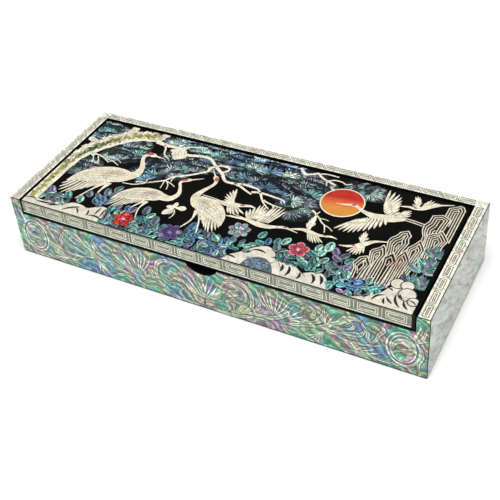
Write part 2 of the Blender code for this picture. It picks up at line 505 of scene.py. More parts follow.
def new_finish(name, roughness, coat=0.0, specular=0.5):
    """A material with its tree, its shader and object coordinates."""
    material = bpy.data.materials.new(name)
    material.use_nodes = True
    tree = material.node_tree
    shader = tree.nodes["Principled BSDF"]
    shader.inputs["Roughness"].default_value = roughness
    shader.inputs["Coat Weight"].default_value = coat
    shader.inputs["Coat Roughness"].default_value = 0.08
    shader.inputs["Specular IOR Level"].default_value = specular
    place = node(tree, "ShaderNodeTexCoord").outputs["Object"]
    return material, tree, shader, place


def surface(tree, shader, tint, haze, relief, strength, depth):
    """Gives a shader its colour, its roughness and the bump of a relief."""
    tree.links.new(tint, shader.inputs["Base Color"])
    tree.links.new(haze, shader.inputs["Roughness"])
    bump = node(tree, "ShaderNodeBump", (("Height", relief), ("Strength", strength), ("Distance", depth)))
    tree.links.new(bump.outputs["Normal"], shader.inputs["Normal"])


def lacquer_finish(name):
    """Black lacquer: deep gloss, with faint polishing haze in its roughness and a slight orange peel."""
    material, tree, shader, place = new_finish(name, 0.14, specular=0.07)
    black = colours()["lacquer"]
    cloud = noise(tree, place, 60, 3)
    tint = ramp(tree, cloud, ((0.3, black), (0.8, black * 1.8)))
    haze = ramp(tree, cloud, ((0.3, 0.10), (0.75, 0.20)))
    surface(tree, shader, tint, haze, noise(tree, place, 900), 0.15, 0.00002)
    return material


def brass_finish(name):
    """Brass: a fine grain of wear and a little tarnish."""
    material, tree, shader, place = new_finish(name, 0.3)
    shader.inputs["Metallic"].default_value = 1.0
    brass = colours()["brass"]
    grain = noise(tree, place, 1800, 4)
    tint = ramp(tree, grain, ((0.3, brass * 0.55), (0.7, brass)))
    haze = ramp(tree, grain, ((0.3, 0.45), (0.7, 0.22)))
    surface(tree, shader, tint, haze, grain, 0.2, 0.00003)
    return material


def pale_shell(name, tone, turn, contrast, scale):
    """A sheet of pale shell: tints of rose and green, broad clouds, and fine streaks that lie one way."""
    material, tree, shader, place = new_finish(name, 0.32, coat=0.2)
    base = colours()[tone]
    along = stretched(tree, place, turn, (1, 5, 1))
    tint = ramp(
        tree, noise(tree, along, 0.5 * scale, 3, 1.5),
        ((0.34, base * (0.80, 0.98, 0.88)), (0.44, base), (0.54, base * (1.04, 0.96, 0.92)),
         (0.64, base * (0.88, 0.96, 1.0))),
    )
    streaks = noise(tree, along, 2.4 * scale, 4, 0.8)
    shade = ramp(
        tree, streaks,
        ((0.34, 1 - contrast), (0.45, 1 - 0.4 * contrast), (0.56, 1.0), (0.68, 1 + 0.3 * contrast)),
    )
    clouds = ramp(
        tree, noise(tree, along, scale, 4, 1.0),
        ((0.36, 1 - 0.8 * contrast), (0.48, 1.0), (0.64, 1 + 0.25 * contrast)),
    )
    toned = mixed(tree, 1.0, mixed(tree, 1.0, tint, shade, "MULTIPLY"), clouds, "MULTIPLY")
    haze = ramp(tree, streaks, ((0.3, 0.42), (0.7, 0.24)))
    surface(tree, shader, toned, haze, streaks, 0.25, 0.00004)
    return material


# Hues of abalone over the range of its noise, as screen colours
ABALONE_HUES = (
    (0.62, (74, 104, 142)), (0.67, (76, 150, 166)), (0.71, (40, 108, 92)), (0.75, (78, 182, 128)),
    (0.785, (112, 120, 96)), (0.81, (46, 122, 102)), (0.835, (190, 172, 122)), (0.865, (78, 138, 120)),
    (0.895, (184, 112, 136)), (0.93, (92, 76, 136)), (0.97, (66, 158, 134)),
)


def abalone_finish(name, pale, contrast):
    """Abalone: swirled patches of green, teal, blue, rose and sand, crossed by light and dark growth lines.

    Each body's own tone is mixed in by the share called pale, and the contrast is that of the growth lines.
    """
    material, tree, shader, place = new_finish(name, 0.28, coat=0.25)
    moved = warped(tree, warped(tree, place, 60, 0.02), 260, 0.004)
    broad = noise(tree, moved, 50, 2, 0.6)
    small = noise(tree, moved, 145, 2, 1.2)
    hue = node(
        tree, "ShaderNodeMath", ((0, small), (1, 0.6), (2, broad)), operation="MULTIPLY_ADD",
    ).outputs[0]
    tint = ramp(tree, hue, [(at, srgb(*screen)) for at, screen in ABALONE_HUES])
    growth = node(
        tree, "ShaderNodeTexWave",
        (("Vector", stretched(tree, moved, (0, 0.5, 0), (1, 1, 1))), ("Scale", 66), ("Distortion", 11.0),
         ("Detail", 2.0), ("Detail Scale", 0.8)), bands_direction="Z",
    ).outputs["Fac"]
    long = stretched(tree, warped(tree, place, 120, 0.02), (0, 0.6, 0), (3.6, 1, 1))
    streaks = noise(tree, long, 640, 3, 0.6)
    lines = ramp(tree, growth, ((0.0, 0.18), (0.2, 0.5), (0.55, 1.0), (0.82, 1.5), (1.0, 2.1)))
    clouds = ramp(tree, streaks, ((0.36, 0.42), (0.46, 0.84), (0.56, 1.12), (0.66, 1.7)))
    toned = mixed(tree, contrast, mixed(tree, pale, tint, own_tone(tree)), lines, "MULTIPLY")
    toned = mixed(tree, contrast, toned, clouds, "MULTIPLY")
    haze = ramp(tree, streaks, ((0.35, 0.42), (0.6, 0.24)))
    surface(tree, shader, toned, haze, growth, 0.3, 0.00006)
    return material


def cut_shell(name, hue_drift, light_drift, scale, grain_scale):
    """Cut shell: each body's own tone, drifting in hue and lightness as nacre does, with growth lines."""
    material, tree, shader, place = new_finish(name, 0.28, coat=0.25)
    drift = noise(tree, place, scale, 3, 0.8, output="Color")
    parts = node(tree, "ShaderNodeSeparateColor", (("Color", drift),)).outputs
    turned = node(
        tree, "ShaderNodeHueSaturation",
        (("Hue", spread_noise(tree, parts["Red"], 0.5, hue_drift)), ("Saturation", 1.0),
         ("Value", spread_noise(tree, parts["Green"], 1, light_drift)), ("Color", own_tone(tree))),
    )
    grain = noise(tree, stretched(tree, place, (0, 0.4, 0.6), (1, 3.3, 1)), grain_scale, 3)
    fine = ramp(tree, grain, ((0.35, 1 - 0.8 * light_drift), (0.5, 1.0), (0.65, 1 + 0.4 * light_drift)))
    toned = mixed(tree, 1.0, turned.outputs["Color"], fine, "MULTIPLY")
    haze = ramp(tree, grain, ((0.3, 0.40), (0.7, 0.28)))
    surface(tree, shader, toned, haze, grain, 0.2, 0.00003)
    return material


def floor_finish(name):
    """The studio floor: matt white with a breath of unevenness."""
    material, tree, shader, place = new_finish(name, 0.9, specular=0.1)
    tint = ramp(tree, noise(tree, place, 3), ((0.3, 0.95), (0.7, 0.97)))
    tree.links.new(tint, shader.inputs["Base Color"])
    return material


# Every finish: the function that builds it, and the values of that function
FINISHES = {
    "studio_floor": (floor_finish,),
    "lacquer_finish": (lacquer_finish,),
    "brass_finish": (brass_finish,),
    "abalone_finish": (abalone_finish, 0.0, 0.72),
    "scroll_shell": (abalone_finish, 0.66, 0.5),
    "end_shell": (pale_shell, "side", (-0.7, 0, 0), 0.48, 150),
    "back_shell": (pale_shell, "side", (0.4, 0, -math.pi / 2), 0.42, 170),
    "rail_shell": (pale_shell, "rail", (0, 0, 0.8), 0.42, 330),
    "band_shell": (pale_shell, "band", (-0.5, 0, -math.pi / 2), 0.5, 200),
    "fret_lines": (cut_shell, 0.02, 0.25, 300, 1200),
    "cream_shell": (cut_shell, 0.02, 0.14, 260, 900),
    "coloured_shell": (cut_shell, 0.025, 0.45, 380, 1200),
    "red_lacquer": (cut_shell, 0.004, 0.05, 300, 1200),
}


def finish_of(name):
    """The material of that name, built the first time it is asked for."""
    build, *values = FINISHES[name]
    return bpy.data.materials.get(name) or build(name, *values)


# Faces of the case

FRONT = Face((0, -HALF_DEPTH, 0), (1, 0, 0), (0, 0, 1))
BACK = Face((0, HALF_DEPTH, 0), (-1, 0, 0), (0, 0, 1))
RIGHT_END = Face((HALF_LENGTH, 0, 0), (0, 1, 0), (0, 0, 1))
LEFT_END = Face((-HALF_LENGTH, 0, 0), (0, -1, 0), (0, 0, 1))
RAIL_MIDDLE = HALF_LENGTH - WALL / 2
LEFT_RAIL = Face((-RAIL_MIDDLE, -HALF_DEPTH, CASE_TOP), (0, 1, 0), (-1, 0, 0))
RIGHT_RAIL = Face((RAIL_MIDDLE, HALF_DEPTH, CASE_TOP), (0, -1, 0), (1, 0, 0))
BACK_RAIL = Face((-HALF_LENGTH, HALF_DEPTH - BACK_WALL / 2, CASE_TOP), (1, 0, 0), (0, 1, 0))


# Veneers, in millimetres: how far the front sheet's ears reach past the lid, the width of the step down from
# them, the bare ring round a pin, the frets' height over their sheet, and how far a mitre stays from its tip
EAR_REACH = 0.75
STEP_WIDTH = 0.02
PIN_RING = 0.35
FRET_RISE = 0.02
MITRE_TIP = 0.02


def front_sheet(face, size, tones):
    """One sheet over the whole front: its top edge steps down from the ends and dips by the notch's arc."""
    inset = size["sheet_inset"]
    half = HALF_LENGTH - inset
    ear = LID_HIGH[0] + EAR_REACH
    shoulder = FRONT_TOP - size["foot_line"]
    arc_middle = FRONT_TOP - NOTCH_DEPTH + NOTCH_RADIUS
    reach = math.sqrt(NOTCH_RADIUS**2 - (arc_middle - shoulder) ** 2) + inset
    dip = np.linspace(-reach, reach, 25)
    step = ear - STEP_WIDTH
    along = np.concatenate([[-half, -ear, -step], dip, [step, ear, half]])
    arc = arc_middle - np.sqrt((NOTCH_RADIUS + inset) ** 2 - dip**2)
    top = CASE_TOP - inset
    upper = np.concatenate([[top, top, shoulder], np.minimum(arc, shoulder), [shoulder, top, top]])
    drawing = Drawing(face)
    drawing.bands(along, size["foot_line"], upper, size["sheet"], tones["side"])
    return drawing


def end_sheet(face, pin_u, size, tones):
    """A sheet round the pin: rays from a circle about the pin's centre out to the sheet's straight edges."""
    inset = size["sheet_inset"]
    low = np.array([-HALF_DEPTH + inset, size["foot_line"]])
    high = np.array([HALF_DEPTH - inset, CASE_TOP - inset])
    centre = np.array([pin_u, PIN_Z])
    corners = np.array([[x, y] for x in (low[0], high[0]) for y in (low[1], high[1])]) - centre
    angles = np.arctan2(corners[:, 1], corners[:, 0])
    angles = np.sort(np.concatenate([angles, np.linspace(-math.pi, math.pi, 65)[:-1] + 0.01]))
    way = ray(angles)
    room = np.where(way > 0, high - centre, centre - low) / np.maximum(np.abs(way), 1e-9)
    reach = room.min(axis=1)
    hole = PIN_RADIUS + PIN_RING
    middles = centre + way * ((hole + reach) / 2)[:, None]
    halves = (reach - hole) / 2
    drawing = Drawing(face)
    drawing.carry(middles[None], way[None], halves[None], size["sheet"], tones["side"], SQUARE, loop=True)
    return drawing


def back_sheet(face, size, tones):
    """A plain sheet over the back, from the foot line to the top."""
    half = HALF_LENGTH - size["sheet_inset"]
    drawing = Drawing(face)
    along = np.linspace(-half, half, 3)
    drawing.bands(along, size["foot_line"], CASE_TOP - size["sheet_inset"], size["sheet"], tones["side"])
    return drawing


def frames(drawing, middles, width, height, step, half, top, tone):
    """Closed rectangles nested a step apart about each middle."""
    corner = np.array([(-1, -1), (1, -1), (1, 1), (-1, 1)])
    for inset in np.arange(0, height / 2 - half, step):
        outline = middles[:, None] + corner * (width / 2 - inset, height / 2 - inset)
        drawing.lines(outline, half, top, tone, loop=True)


def fret_border(drawing, start, end, pitch, height, bars, size, tones):
    """Nested frames in a row with upright bars between them, and a light line half a step inside each."""
    count = max(1, round((end - start) / pitch))
    pitch = (end - start) / count
    step = size["fret_step"]
    half = size["fret_line"] / 2
    top = size["sheet"] + FRET_RISE
    middles = np.stack([start + pitch * (np.arange(count) + 0.5), np.zeros(count)], axis=-1)
    width = pitch - (1.75 + 0.25 * len(bars)) * step
    frames(drawing, middles, width - step, height - step, step, 1.3 * half, top - 0.01, tones["pearl"])
    frames(drawing, middles, width, height, step, half, top, tones["fret"])
    posts = np.stack([start + pitch * np.arange(1, count), np.zeros(count - 1)], axis=-1)
    rise = np.array([[0, -height / 2], [0, height / 2]])
    for place, name in bars:
        drawing.lines(posts[:, None] + (place * step, 0) + rise, half, top, tones[name])


def rail_sheet(drawing, long, width, crossing, mitres, size, tones):
    """A rail's sheet: at a mitred end its inner edge starts where the crossing rail ends."""
    half = width / 2 - size["sheet_inset"]
    first, far = size["sheet_inset"], crossing - size["sheet_inset"]
    along = np.array([first, far, long - far, long - first])
    near_end, far_end = (half - MITRE_TIP if mitred_end else -half for mitred_end in mitres)
    drawing.bands(along, np.array([near_end, -half, -half, far_end]), half, size["sheet"], tones["rail"])


# The picture's places, in millimetres from the lid's middle

# The trunk's middle line, with its half width at each point
TRUNK = (
    (-117.8, -44, 4.2), (-117.7, -26, 4.2), (-117.4, -8, 4.3), (-116.4, 2, 5.0), (-112.8, 12, 6.2),
    (-107.0, 20.5, 6.4), (-99.5, 28.2, 5.9), (-90.5, 34, 5.2), (-81.5, 36, 4.8), (-74.5, 35, 2.6),
)
# Stubs of cut limbs: root, end, and the half width
STUBS = (
    ((-99, 32), (-98, 42.5), 2.7), ((-79, 34), (-74.5, 42.5), 2.6), ((-112, 17), (-121, 21), 2.2),
    ((-60.5, 31), (-54.2, 21.5), 4.6), ((-111, 8), (-106.5, 5.5), 2.0),
)
# Each branch: half width at both ends, and its points
BRANCHES = (
    (1.6, 1.2, ((-77, 32.4), (-70, 31.4), (-62, 31.6), (-57, 31))),
    (1.3, 0.9, ((-55, 26.6), (-50, 27.2), (-45, 28.6), (-40, 29.2), (-36, 28.4), (-32.5, 25.6),
                (-29.5, 23))),
    (0.9, 0.6, ((-29.5, 23), (-31.8, 20), (-31.7, 17), (-35, 13.6), (-42, 8), (-48, 4.4), (-51, -0.6))),
    (0.6, 0.4, ((-51, -0.6), (-55, -3.4), (-60, -6.4), (-67, -8.4))),
    (0.8, 0.7, ((-29.5, 23), (-26.5, 24.7), (-22.5, 24.9), (-20.4, 23.4), (-21, 20.8), (-22.6, 19.2))),
    (1.1, 0.8, ((-29, 22.6), (-25.5, 20), (-22, 17.4), (-19.5, 14.2), (-16.5, 11.9), (-11, 12), (-6, 13.6))),
    (0.9, 0.4, ((-7, 13.4), (-3, 13.2), (1, 12.8), (4.5, 12.2), (8, 8.6), (11, 4.4), (14, 1.2),
                (18.4, -2.2))),
    (0.9, 0.5, ((-11, 12), (-6, 10.6), (-2, 8.6), (3, 6.4))),
    (0.8, 0.6, ((2, 8.4), (6, 9.6), (12, 9.6), (17, 9), (22, 8.4), (24.4, 6.6))),
    (0.6, 0.3, ((12, 4.2), (16, 2.8), (20, 2), (24.4, 1.6))),
    (0.5, 0.3, ((19, 2), (20.4, 0), (21, -2))),
    (0.6, 0.4, ((-57, 33), (-54, 35.2), (-49, 36.6), (-43.5, 38.2))),
    (0.6, 0.35, ((-70.5, 31.4), (-68, 27.4), (-66.4, 23.2), (-63.4, 20.4), (-60.4, 18.8))),
    (0.4, 0.25, ((-50.5, -1), (-46.4, -2.2), (-42.6, -4.2))),
    (0.4, 0.25, ((-49.6, -1.4), (-47.2, -4.4), (-46, -8.2))),
    (0.4, 0.25, ((-51.2, -1.6), (-50.6, -5), (-50, -8.6))),
    (0.4, 0.25, ((-47.4, 4), (-47.8, 1.4), (-47.2, -0.8))),
    (0.45, 0.3, ((-59.6, -6), (-63, -9), (-67.4, -11.4), (-74, -12.4))),
    (0.4, 0.25, ((-61.8, -3.6), (-61.2, -7))),
    (0.9, 0.6, ((19, 40.6), (22.6, 37), (24.2, 36), (27.4, 37.2), (31, 39.4), (33.4, 37.2), (37.6, 35),
                (45, 32.4))),
    (0.5, 0.4, ((31.6, 39.2), (36, 40.6), (43.6, 40.4))),
    (0.5, 0.3, ((37.6, 35), (39, 32.6), (39.8, 30))),
    (0.5, 0.35, ((39.4, 35), (42.4, 36.8), (47, 36.8), (50.2, 35.4), (53, 37.2))),
    (0.6, 0.4, ((41.8, 6.4), (45, 4), (46, 1), (46, -3.4))),
    (0.55, 0.25, ((45.4, 3.4), (48.2, 1.4), (50.6, -1.2), (53.2, -3), (56, -4), (59.2, -6.2))),
    (0.4, 0.2, ((48.2, 1.4), (51, 1.6), (54, 1.2))),
    (0.4, 0.2, ((53.2, -3), (54.6, -6), (55.6, -9))),
    (0.4, 0.3, ((45.4, 4), (46.2, 6.8))),
    (0.6, 0.3, ((-109, 6), (-104, 6.6), (-99, 4.8), (-94.2, 2))),
    (0.45, 0.25, ((-99.4, 5), (-92.6, 4.2), (-86.6, 1.6))),
    (0.4, 0.25, ((-97.4, 6), (-91.6, 7), (-86.4, 4.4))),
    (0.4, 0.25, ((-107.4, 5), (-105.2, 1.6), (-104, -1.8))),
    (0.4, 0.25, ((-104, 5.4), (-101.4, 1.8), (-100.2, -0.4))),
)
# Each mass of needles: middle, half length and half height, and the way it leans in degrees
NEEDLE_MASSES = (
    (-112.5, 31.5, 9, 9, 110), (-89, 17, 11, 10, 120), (-106.5, -8, 5.5, 7, 110), (-62, 36.5, 12, 4.5, 70),
    (-41, 35.5, 14, 5, 95), (-16, 36, 15, 5.5, 80), (-61, 5, 6, 7.5, 150), (-50, 13, 9, 8, 120),
    (-39, 18.5, 5.5, 7, 95), (-21, 29.5, 9, 3, 80), (-10, 19.5, 10, 4.5, 95), (8, 35.5, 15, 5.5, 95),
    (9, 22, 15, 8, 85), (31, 28, 9, 8, 60), (29, 15, 9, 7, 25), (31, 4, 5, 4, -40), (63, 36.5, 9, 3.5, -35),
)
# The fans of a tuft: needles, their length as a share of the tuft's reach, lightness, height over the pad
NEEDLE_FANS = ((21, 1.0, 1.7, 0.005), (9, 0.6, 1.45, 0.0085))
# A needle's lightness from its root to its tip, and its half width
NEEDLE_LIGHTS = (0.32, 1.0, 1.8, 2.45)
NEEDLE_HALF = 0.34
# How far a mass's rows of tufts are apart, and the tufts of a row
TUFT_ROWS, TUFT_COLUMNS = 4.4, 6.4
# The sun's middle, the way it darkens in degrees, and the half width of its ring
SUN = (54.6, 19.1)
SUN_LEAN = 97
SUN_RING = 0.42
# Standing cranes: where the feet are, the height, the way they face, the body's length and fall, the
# plumes' length and the neck's pose
STANDING = (
    (-86.5, -36.0, 57.0, 1, 1.0, 0.0, 1.0, "level"),
    (-54.5, -38.0, 43.5, 1, 1.06, -0.03, 0.86, "raised"),
    (-14.5, -36.5, 49.5, -1, 0.86, 0.02, 0.86, "thrown"),
)
# Flying cranes: the line from the feet to the beak's tip, its half widths, and the wings. A wing is its
# arm, the rim that its feathers reach and their number.
FLYING = (
    (
        ((-23, -6.2), (-14, -6.4), (-8, -6.6), (-2.5, -6.4), (3, -5), (8, -3.6), (11.6, -4.8)),
        (0.3, 0.5, 1.8, 2.4, 1.1, 0.8, 0.2),
        ((((-2, -5), (-4.4, -1)), ((-9.4, -3.6), (-10.6, 0.4), (-9.4, 4.6), (-7.2, 8)), 6),
         (((-5, -7.6), (0, -7.4)), ((-1.4, -14), (2.6, -14.2), (7.4, -11.4)), 5)),
    ),
    (
        ((0, -15.6), (8, -15.2), (13, -15.4), (19, -16.4), (25, -16.2), (30, -14.5), (34, -13.3),
         (38, -14), (42.4, -14.9)),
        (0.35, 0.6, 1.3, 1.9, 1.5, 0.9, 1.0, 0.45, 0.15),
        ((((11, -14.6), (16.4, -13)), ((7.4, -8), (9.6, -4.6), (12.6, -0.6), (15.4, 0), (18, -2.6)), 7),
         (((17, -14.6), (23.4, -13.6)), ((19.6, -3.6), (20.4, 0), (22.6, 2), (26, 2.4), (28.8, 0)), 7)),
    ),
    (
        ((36.4, -13.6), (41, -11.8), (45, -11), (49, -11.8), (53, -12.3), (57, -11.6), (60.6, -10.8),
         (64.4, -11.4)),
        (0.3, 0.7, 1.2, 1.7, 1.2, 0.7, 0.7, 0.15),
        ((((47.6, -11), (46.6, -7.6)), ((43.6, -5), (44.2, -0.4), (45.6, 3), (48.2, -3.4)), 6),
         (((47, -12), (52.4, -13)), ((50.4, -18.4), (53, -19.2), (55.8, -18.6), (58.4, -17.4)), 6)),
    ),
    (
        ((92.4, 18.4), (87, 16.6), (81, 15), (75, 14.6), (69, 16), (65, 18), (61.6, 19.3), (57, 18.2),
         (51.6, 17.2)),
        (1.0, 2.6, 3.0, 2.2, 1.2, 0.9, 1.3, 0.5, 0.15),
        ((((85, 17), (79.6, 19.4), (77.2, 25)),
          ((89, 20.4), (85.8, 26.4), (85.2, 32), (82.4, 37.6), (75.6, 40)), 10),
         (((82, 14.4), (74, 12.6), (68, 8.4)),
          ((84, 9.6), (78, 3), (72, -1.4), (66, -4.4), (59, -3.6)), 11),
         (((86, 17.4), (89, 18.4)), ((90, 25.8), (93, 26.6), (94, 22.4)), 5)),
    ),
    (
        ((113, 40), (107, 37.6), (103, 35), (98, 31.2), (94, 29.5), (90, 29.4), (85.4, 28.2)),
        (0.2, 0.5, 0.9, 1.6, 1.1, 0.7, 0.2),
        ((((96.6, 30), (94, 30.4)), ((91.2, 32.4), (90.6, 39.4), (93, 40), (95.6, 36)), 7),
         (((97, 31.4), (101, 34)), ((97.8, 36.4), (100, 40), (103.6, 38.6), (107, 38.2)), 7)),
    ),
    (
        ((90.2, -3.3), (86, -4.5), (83, -6), (80, -8.8), (77.6, -11), (74.6, -13), (71, -14.6),
         (67, -15.4)),
        (0.3, 0.6, 1.0, 1.7, 1.7, 0.9, 0.7, 0.15),
        ((((78.6, -10), (77.4, -7.6)), ((74.6, -5), (75.2, -1.4), (76.6, 0.8), (79.8, -4)), 6),
         (((77, -12), (79.6, -11)), ((72.6, -18.8), (76, -19.6), (78.8, -19.2), (81.4, -16.6)), 6)),
    ),
)
# The long legs of three flying cranes, each a line
TRAILING_LEGS = (
    ((91, 19.3), (97, 18.9), (103.4, 18.1)), ((91, 17.6), (97, 17.2), (102.4, 16.4)),
    ((-23, -4.6), (-16, -4.8), (-9, -5.8)), ((-23, -7.6), (-16, -7.4), (-9, -7)),
    ((1, -13.4), (6, -14), (11, -14.8)), ((-2.6, -16.2), (4, -16), (10, -15.6)),
)
# Rocks from back to front: the outline from foot to foot
ROCKS = (
    ((111.2, 24), (111.2, 36.6), (114, 38.6), (116.4, 40.9), (118.4, 40), (119.8, 37.6), (119.8, 8)),
    ((106.6, -1), (105.6, 8.5), (103.6, 13.5), (103.2, 17.8), (104.8, 21.5), (105, 27), (110, 29.4),
     (115, 27), (114.4, 22), (113.5, 8)),
    ((109.4, -8), (108.6, 2), (107.6, 10.2), (110, 12.6), (112.2, 13.4), (113.6, 16.4), (115.8, 14),
     (119, 9.6), (117.8, 4), (117.4, -8)),
    ((92.4, -18), (91.4, -8), (90, -2), (90.6, 1), (92.8, 4), (93.6, 7), (97.2, 9.6), (99.9, 6.2),
     (99.5, 3), (100.6, 0), (99.6, -6), (99, -18)),
    ((103.4, -31), (102.6, -12), (101.6, -3.6), (104.2, 1), (105.8, 5), (110.2, -2), (109.4, -12),
     (108, -26)),
    ((86.4, -34), (86, -20), (84.4, -13.4), (85.2, -11.6), (87.8, -9.2), (89.2, -6.2), (91, -8.4),
     (92.8, -13), (92.2, -18), (92.2, -34)),
    ((99.2, -35), (99.2, -17), (98.8, -12.6), (101.2, -5.8), (105.8, -12.8), (105.4, -17), (104.8, -33)),
    ((93.8, -35), (93.6, -20), (92.8, -15.4), (96, -10.2), (99.9, -16.4), (98.9, -20), (98.4, -35)),
    ((82, -35.5), (81.4, -29), (79.4, -25.4), (81, -20), (84.4, -17.8), (88.2, -23.4), (87.4, -28),
     (87, -35.5)),
)
# Open leaves that stand out of the bank: the middle, the way the leaf points, its length, and its tones
LEAVES = (
    (-110.5, -33.5, 125, 6, "violet"), (-98, -34.5, 125, 6.5, "teal"), (-86.4, -29, 125, 6.4, "slate"),
    (-88.5, -35.5, 110, 6.4, "mint"), (-104, -37.5, 60, 5.6, "slate"), (-77, -23.6, 112, 6.6, "slate"),
    (-72.4, -18.6, 68, 6.2, "slate"), (-75.6, -30.6, 125, 6.4, "blue"), (-71.6, -31.6, 60, 6, "slate"),
    (-72.2, -24.8, 78, 5.8, "slate"), (-80.4, -28.8, 140, 5.2, "slate"), (-69.4, -27.4, 60, 5.2, "slate"),
    (-75.2, -35.4, 95, 5.2, "slate"), (-68.6, -22.6, 48, 4.8, "slate"),
    (-79, -34, 140, 5.6, "blue"), (-66.4, -36, 100, 6, "teal"), (-63.4, -32.6, 80, 6.2, "slate"),
    (-57.2, -32.6, 110, 5.6, "blue"), (-53.6, -32.4, 75, 5.4, "violet"), (-45.8, -29.8, 98, 7, "slate"),
    (-41, -33, 60, 5.6, "mint"), (-36.4, -36, 97, 7.2, "slate"), (-43.6, -37.4, 130, 6, "teal"),
    (-13.8, -32.4, 95, 7.4, "blue"), (-3, -35.4, 110, 5.4, "slate"), (2.6, -36, 140, 6.2, "mint"),
    (25.6, -23.6, 72, 6, "teal"), (31, -27.4, 100, 5.4, "blue"), (35.6, -25.6, 95, 5.6, "teal"),
    (39.8, -23.6, 65, 6.4, "mint"), (27, -30, 160, 5.6, "teal"), (37.4, -30, 110, 6.4, "slate"),
    (58.4, -21.6, 80, 5.6, "mint"), (63.4, -18.6, 88, 7.6, "mint"), (57, -27, 150, 5.6, "teal"),
    (61.6, -25, 70, 5.6, "mint"), (68, -21, 120, 6.2, "violet"), (73.8, -22.6, 55, 5.8, "slate"),
    (77.4, -25.4, 60, 5.6, "teal"), (70.4, -26, 150, 5.8, "violet"), (65, -30, 60, 5.8, "mint"),
    (70.6, -31, 140, 5.6, "slate"), (78.2, -30, 70, 5.8, "violet"), (59.6, -33, 110, 6, "teal"),
    (52.6, -33.4, 150, 5.4, "mint"), (44.4, -32.4, 120, 5.2, "mint"), (84.4, -36, 80, 5.2, "violet"),
    (92.6, -35.2, 90, 5.6, "mint"), (97.4, -35.6, 80, 5.2, "mint"), (80.4, -36.4, 110, 5.2, "mint"),
)
# Beds of loose leaves: left and right end, bottom and top, how light, and the tones
LEAF_BEDS = (
    (-112, -96, -42, -37, 1.0, ("slate", "teal", "violet", "mint")),
    (-66, -30, -49, -38, 1.0, ("slate", "teal", "blue", "slate", "mint")),
    (-16, 12, -49, -34, 1.0, ("teal", "blue", "mint", "blue", "violet", "slate")),
    (13, 23, -39, -33, 0.88, ("teal", "mint", "slate")),
    (42, 80, -38, -31, 1.05, ("mint", "teal", "violet", "teal", "slate")),
    (76, 99, -47, -36, 1.45, ("blue", "slate", "teal", "blue", "mint", "violet")),
    (-30, -16, -49, -45, 1.0, ("teal", "mint", "violet")),
)
# The stems of two groups of leaves: height over the lid, tone, stations, and the line
STEMS = (
    (0.09, "slate", 14, ((75.6, -39), (74.8, -32), (73.6, -26), (71.6, -22.4))),
    (0.12, "mint", 10, ((-13.6, -46), (-13.4, -41), (-13.8, -35))),
)
# Flowers: place, radius, petals, the tones of the outer and the inner petals, of their rims and of the heart
FLOWERS = (
    (-54.4, -41.6, 6.6, 5, ("crimson", "vermilion", "crimson"), ("rose", "crimson"), "vermilion", "blush"),
    (-23.4, -41.6, 7.6, 7, ("plum", "violet", "plum"), ("plum", "plum", "plum"), "violet", "violet"),
    (11.6, -24.8, 7.0, 7, ("slate", "teal", "mint"), ("blush", "slate", "mint"), "blush", "teal"),
    (48.8, -27.2, 6.6, 5, ("rose", "rose", "rose"), ("rose", "rose"), "blush", "blush"),
)
# Upper edges of the cream banks over their length, all down to the picture's edge
LEFT_BANK = (
    (-122, -41.6), (-116, -43), (-111, -44.6), (-105, -43.4), (-99, -41.4), (-95, -42.4), (-90, -39.6),
    (-84, -39.8), (-80, -41), (-76, -38.6), (-72, -36.4), (-68, -37.2), (-64, -40.4), (-61, -44),
    (-57, -48.4),
)
ARCH_BANK = (
    (11, -48.6), (14, -46.6), (17, -43.6), (20, -41), (23, -37.5), (27, -33.6), (32, -31), (36, -32.2),
    (40, -36), (44, -41), (47, -45),
)
MIDDLE_BANK = ((40, -42), (44, -38.6), (48, -37), (52, -39), (56, -41.8), (61, -45))
RIGHT_BANK = ((56, -45), (60, -42), (64, -40.2), (68, -39.6), (71, -41.6), (73.5, -45), (75.8, -49.2))
CLOUD_BANK = (
    (88, -49.2), (92, -47.6), (95, -46), (98, -43.4), (101, -40.6), (103.4, -36), (108, -33), (113, -33),
    (117, -37.6), (119.6, -42), (121, -46),
)
# Banks from back to front: the edge, its stations, and the heights of the bank and of the line on its edge
BANKS = (
    (LEFT_BANK, 60, 0.05, 0.08), (RIGHT_BANK, 30, 0.052, 0.08), (MIDDLE_BANK, 30, 0.056, 0.08),
    (ARCH_BANK, 40, 0.06, 0.08), (CLOUD_BANK, 40, 0.165, 0.172),
)
# The round lobes of the cloud-like bank: middle and radius
CLOUD_LOBES = ((106.4, -31.6, 3.5), (111.6, -31.4, 3.3), (113.6, -37.6, 4.4), (118, -41.4, 2.8))
# The pond under the arch: its upper edge
POND = ((25, -49.4), (26, -45.4), (29, -42), (33, -40.4), (37, -41), (41, -44.4), (43.8, -49.2))
# Where the cloud-like bank starts, whose strokes lie higher than the others
CLOUD_START = 90
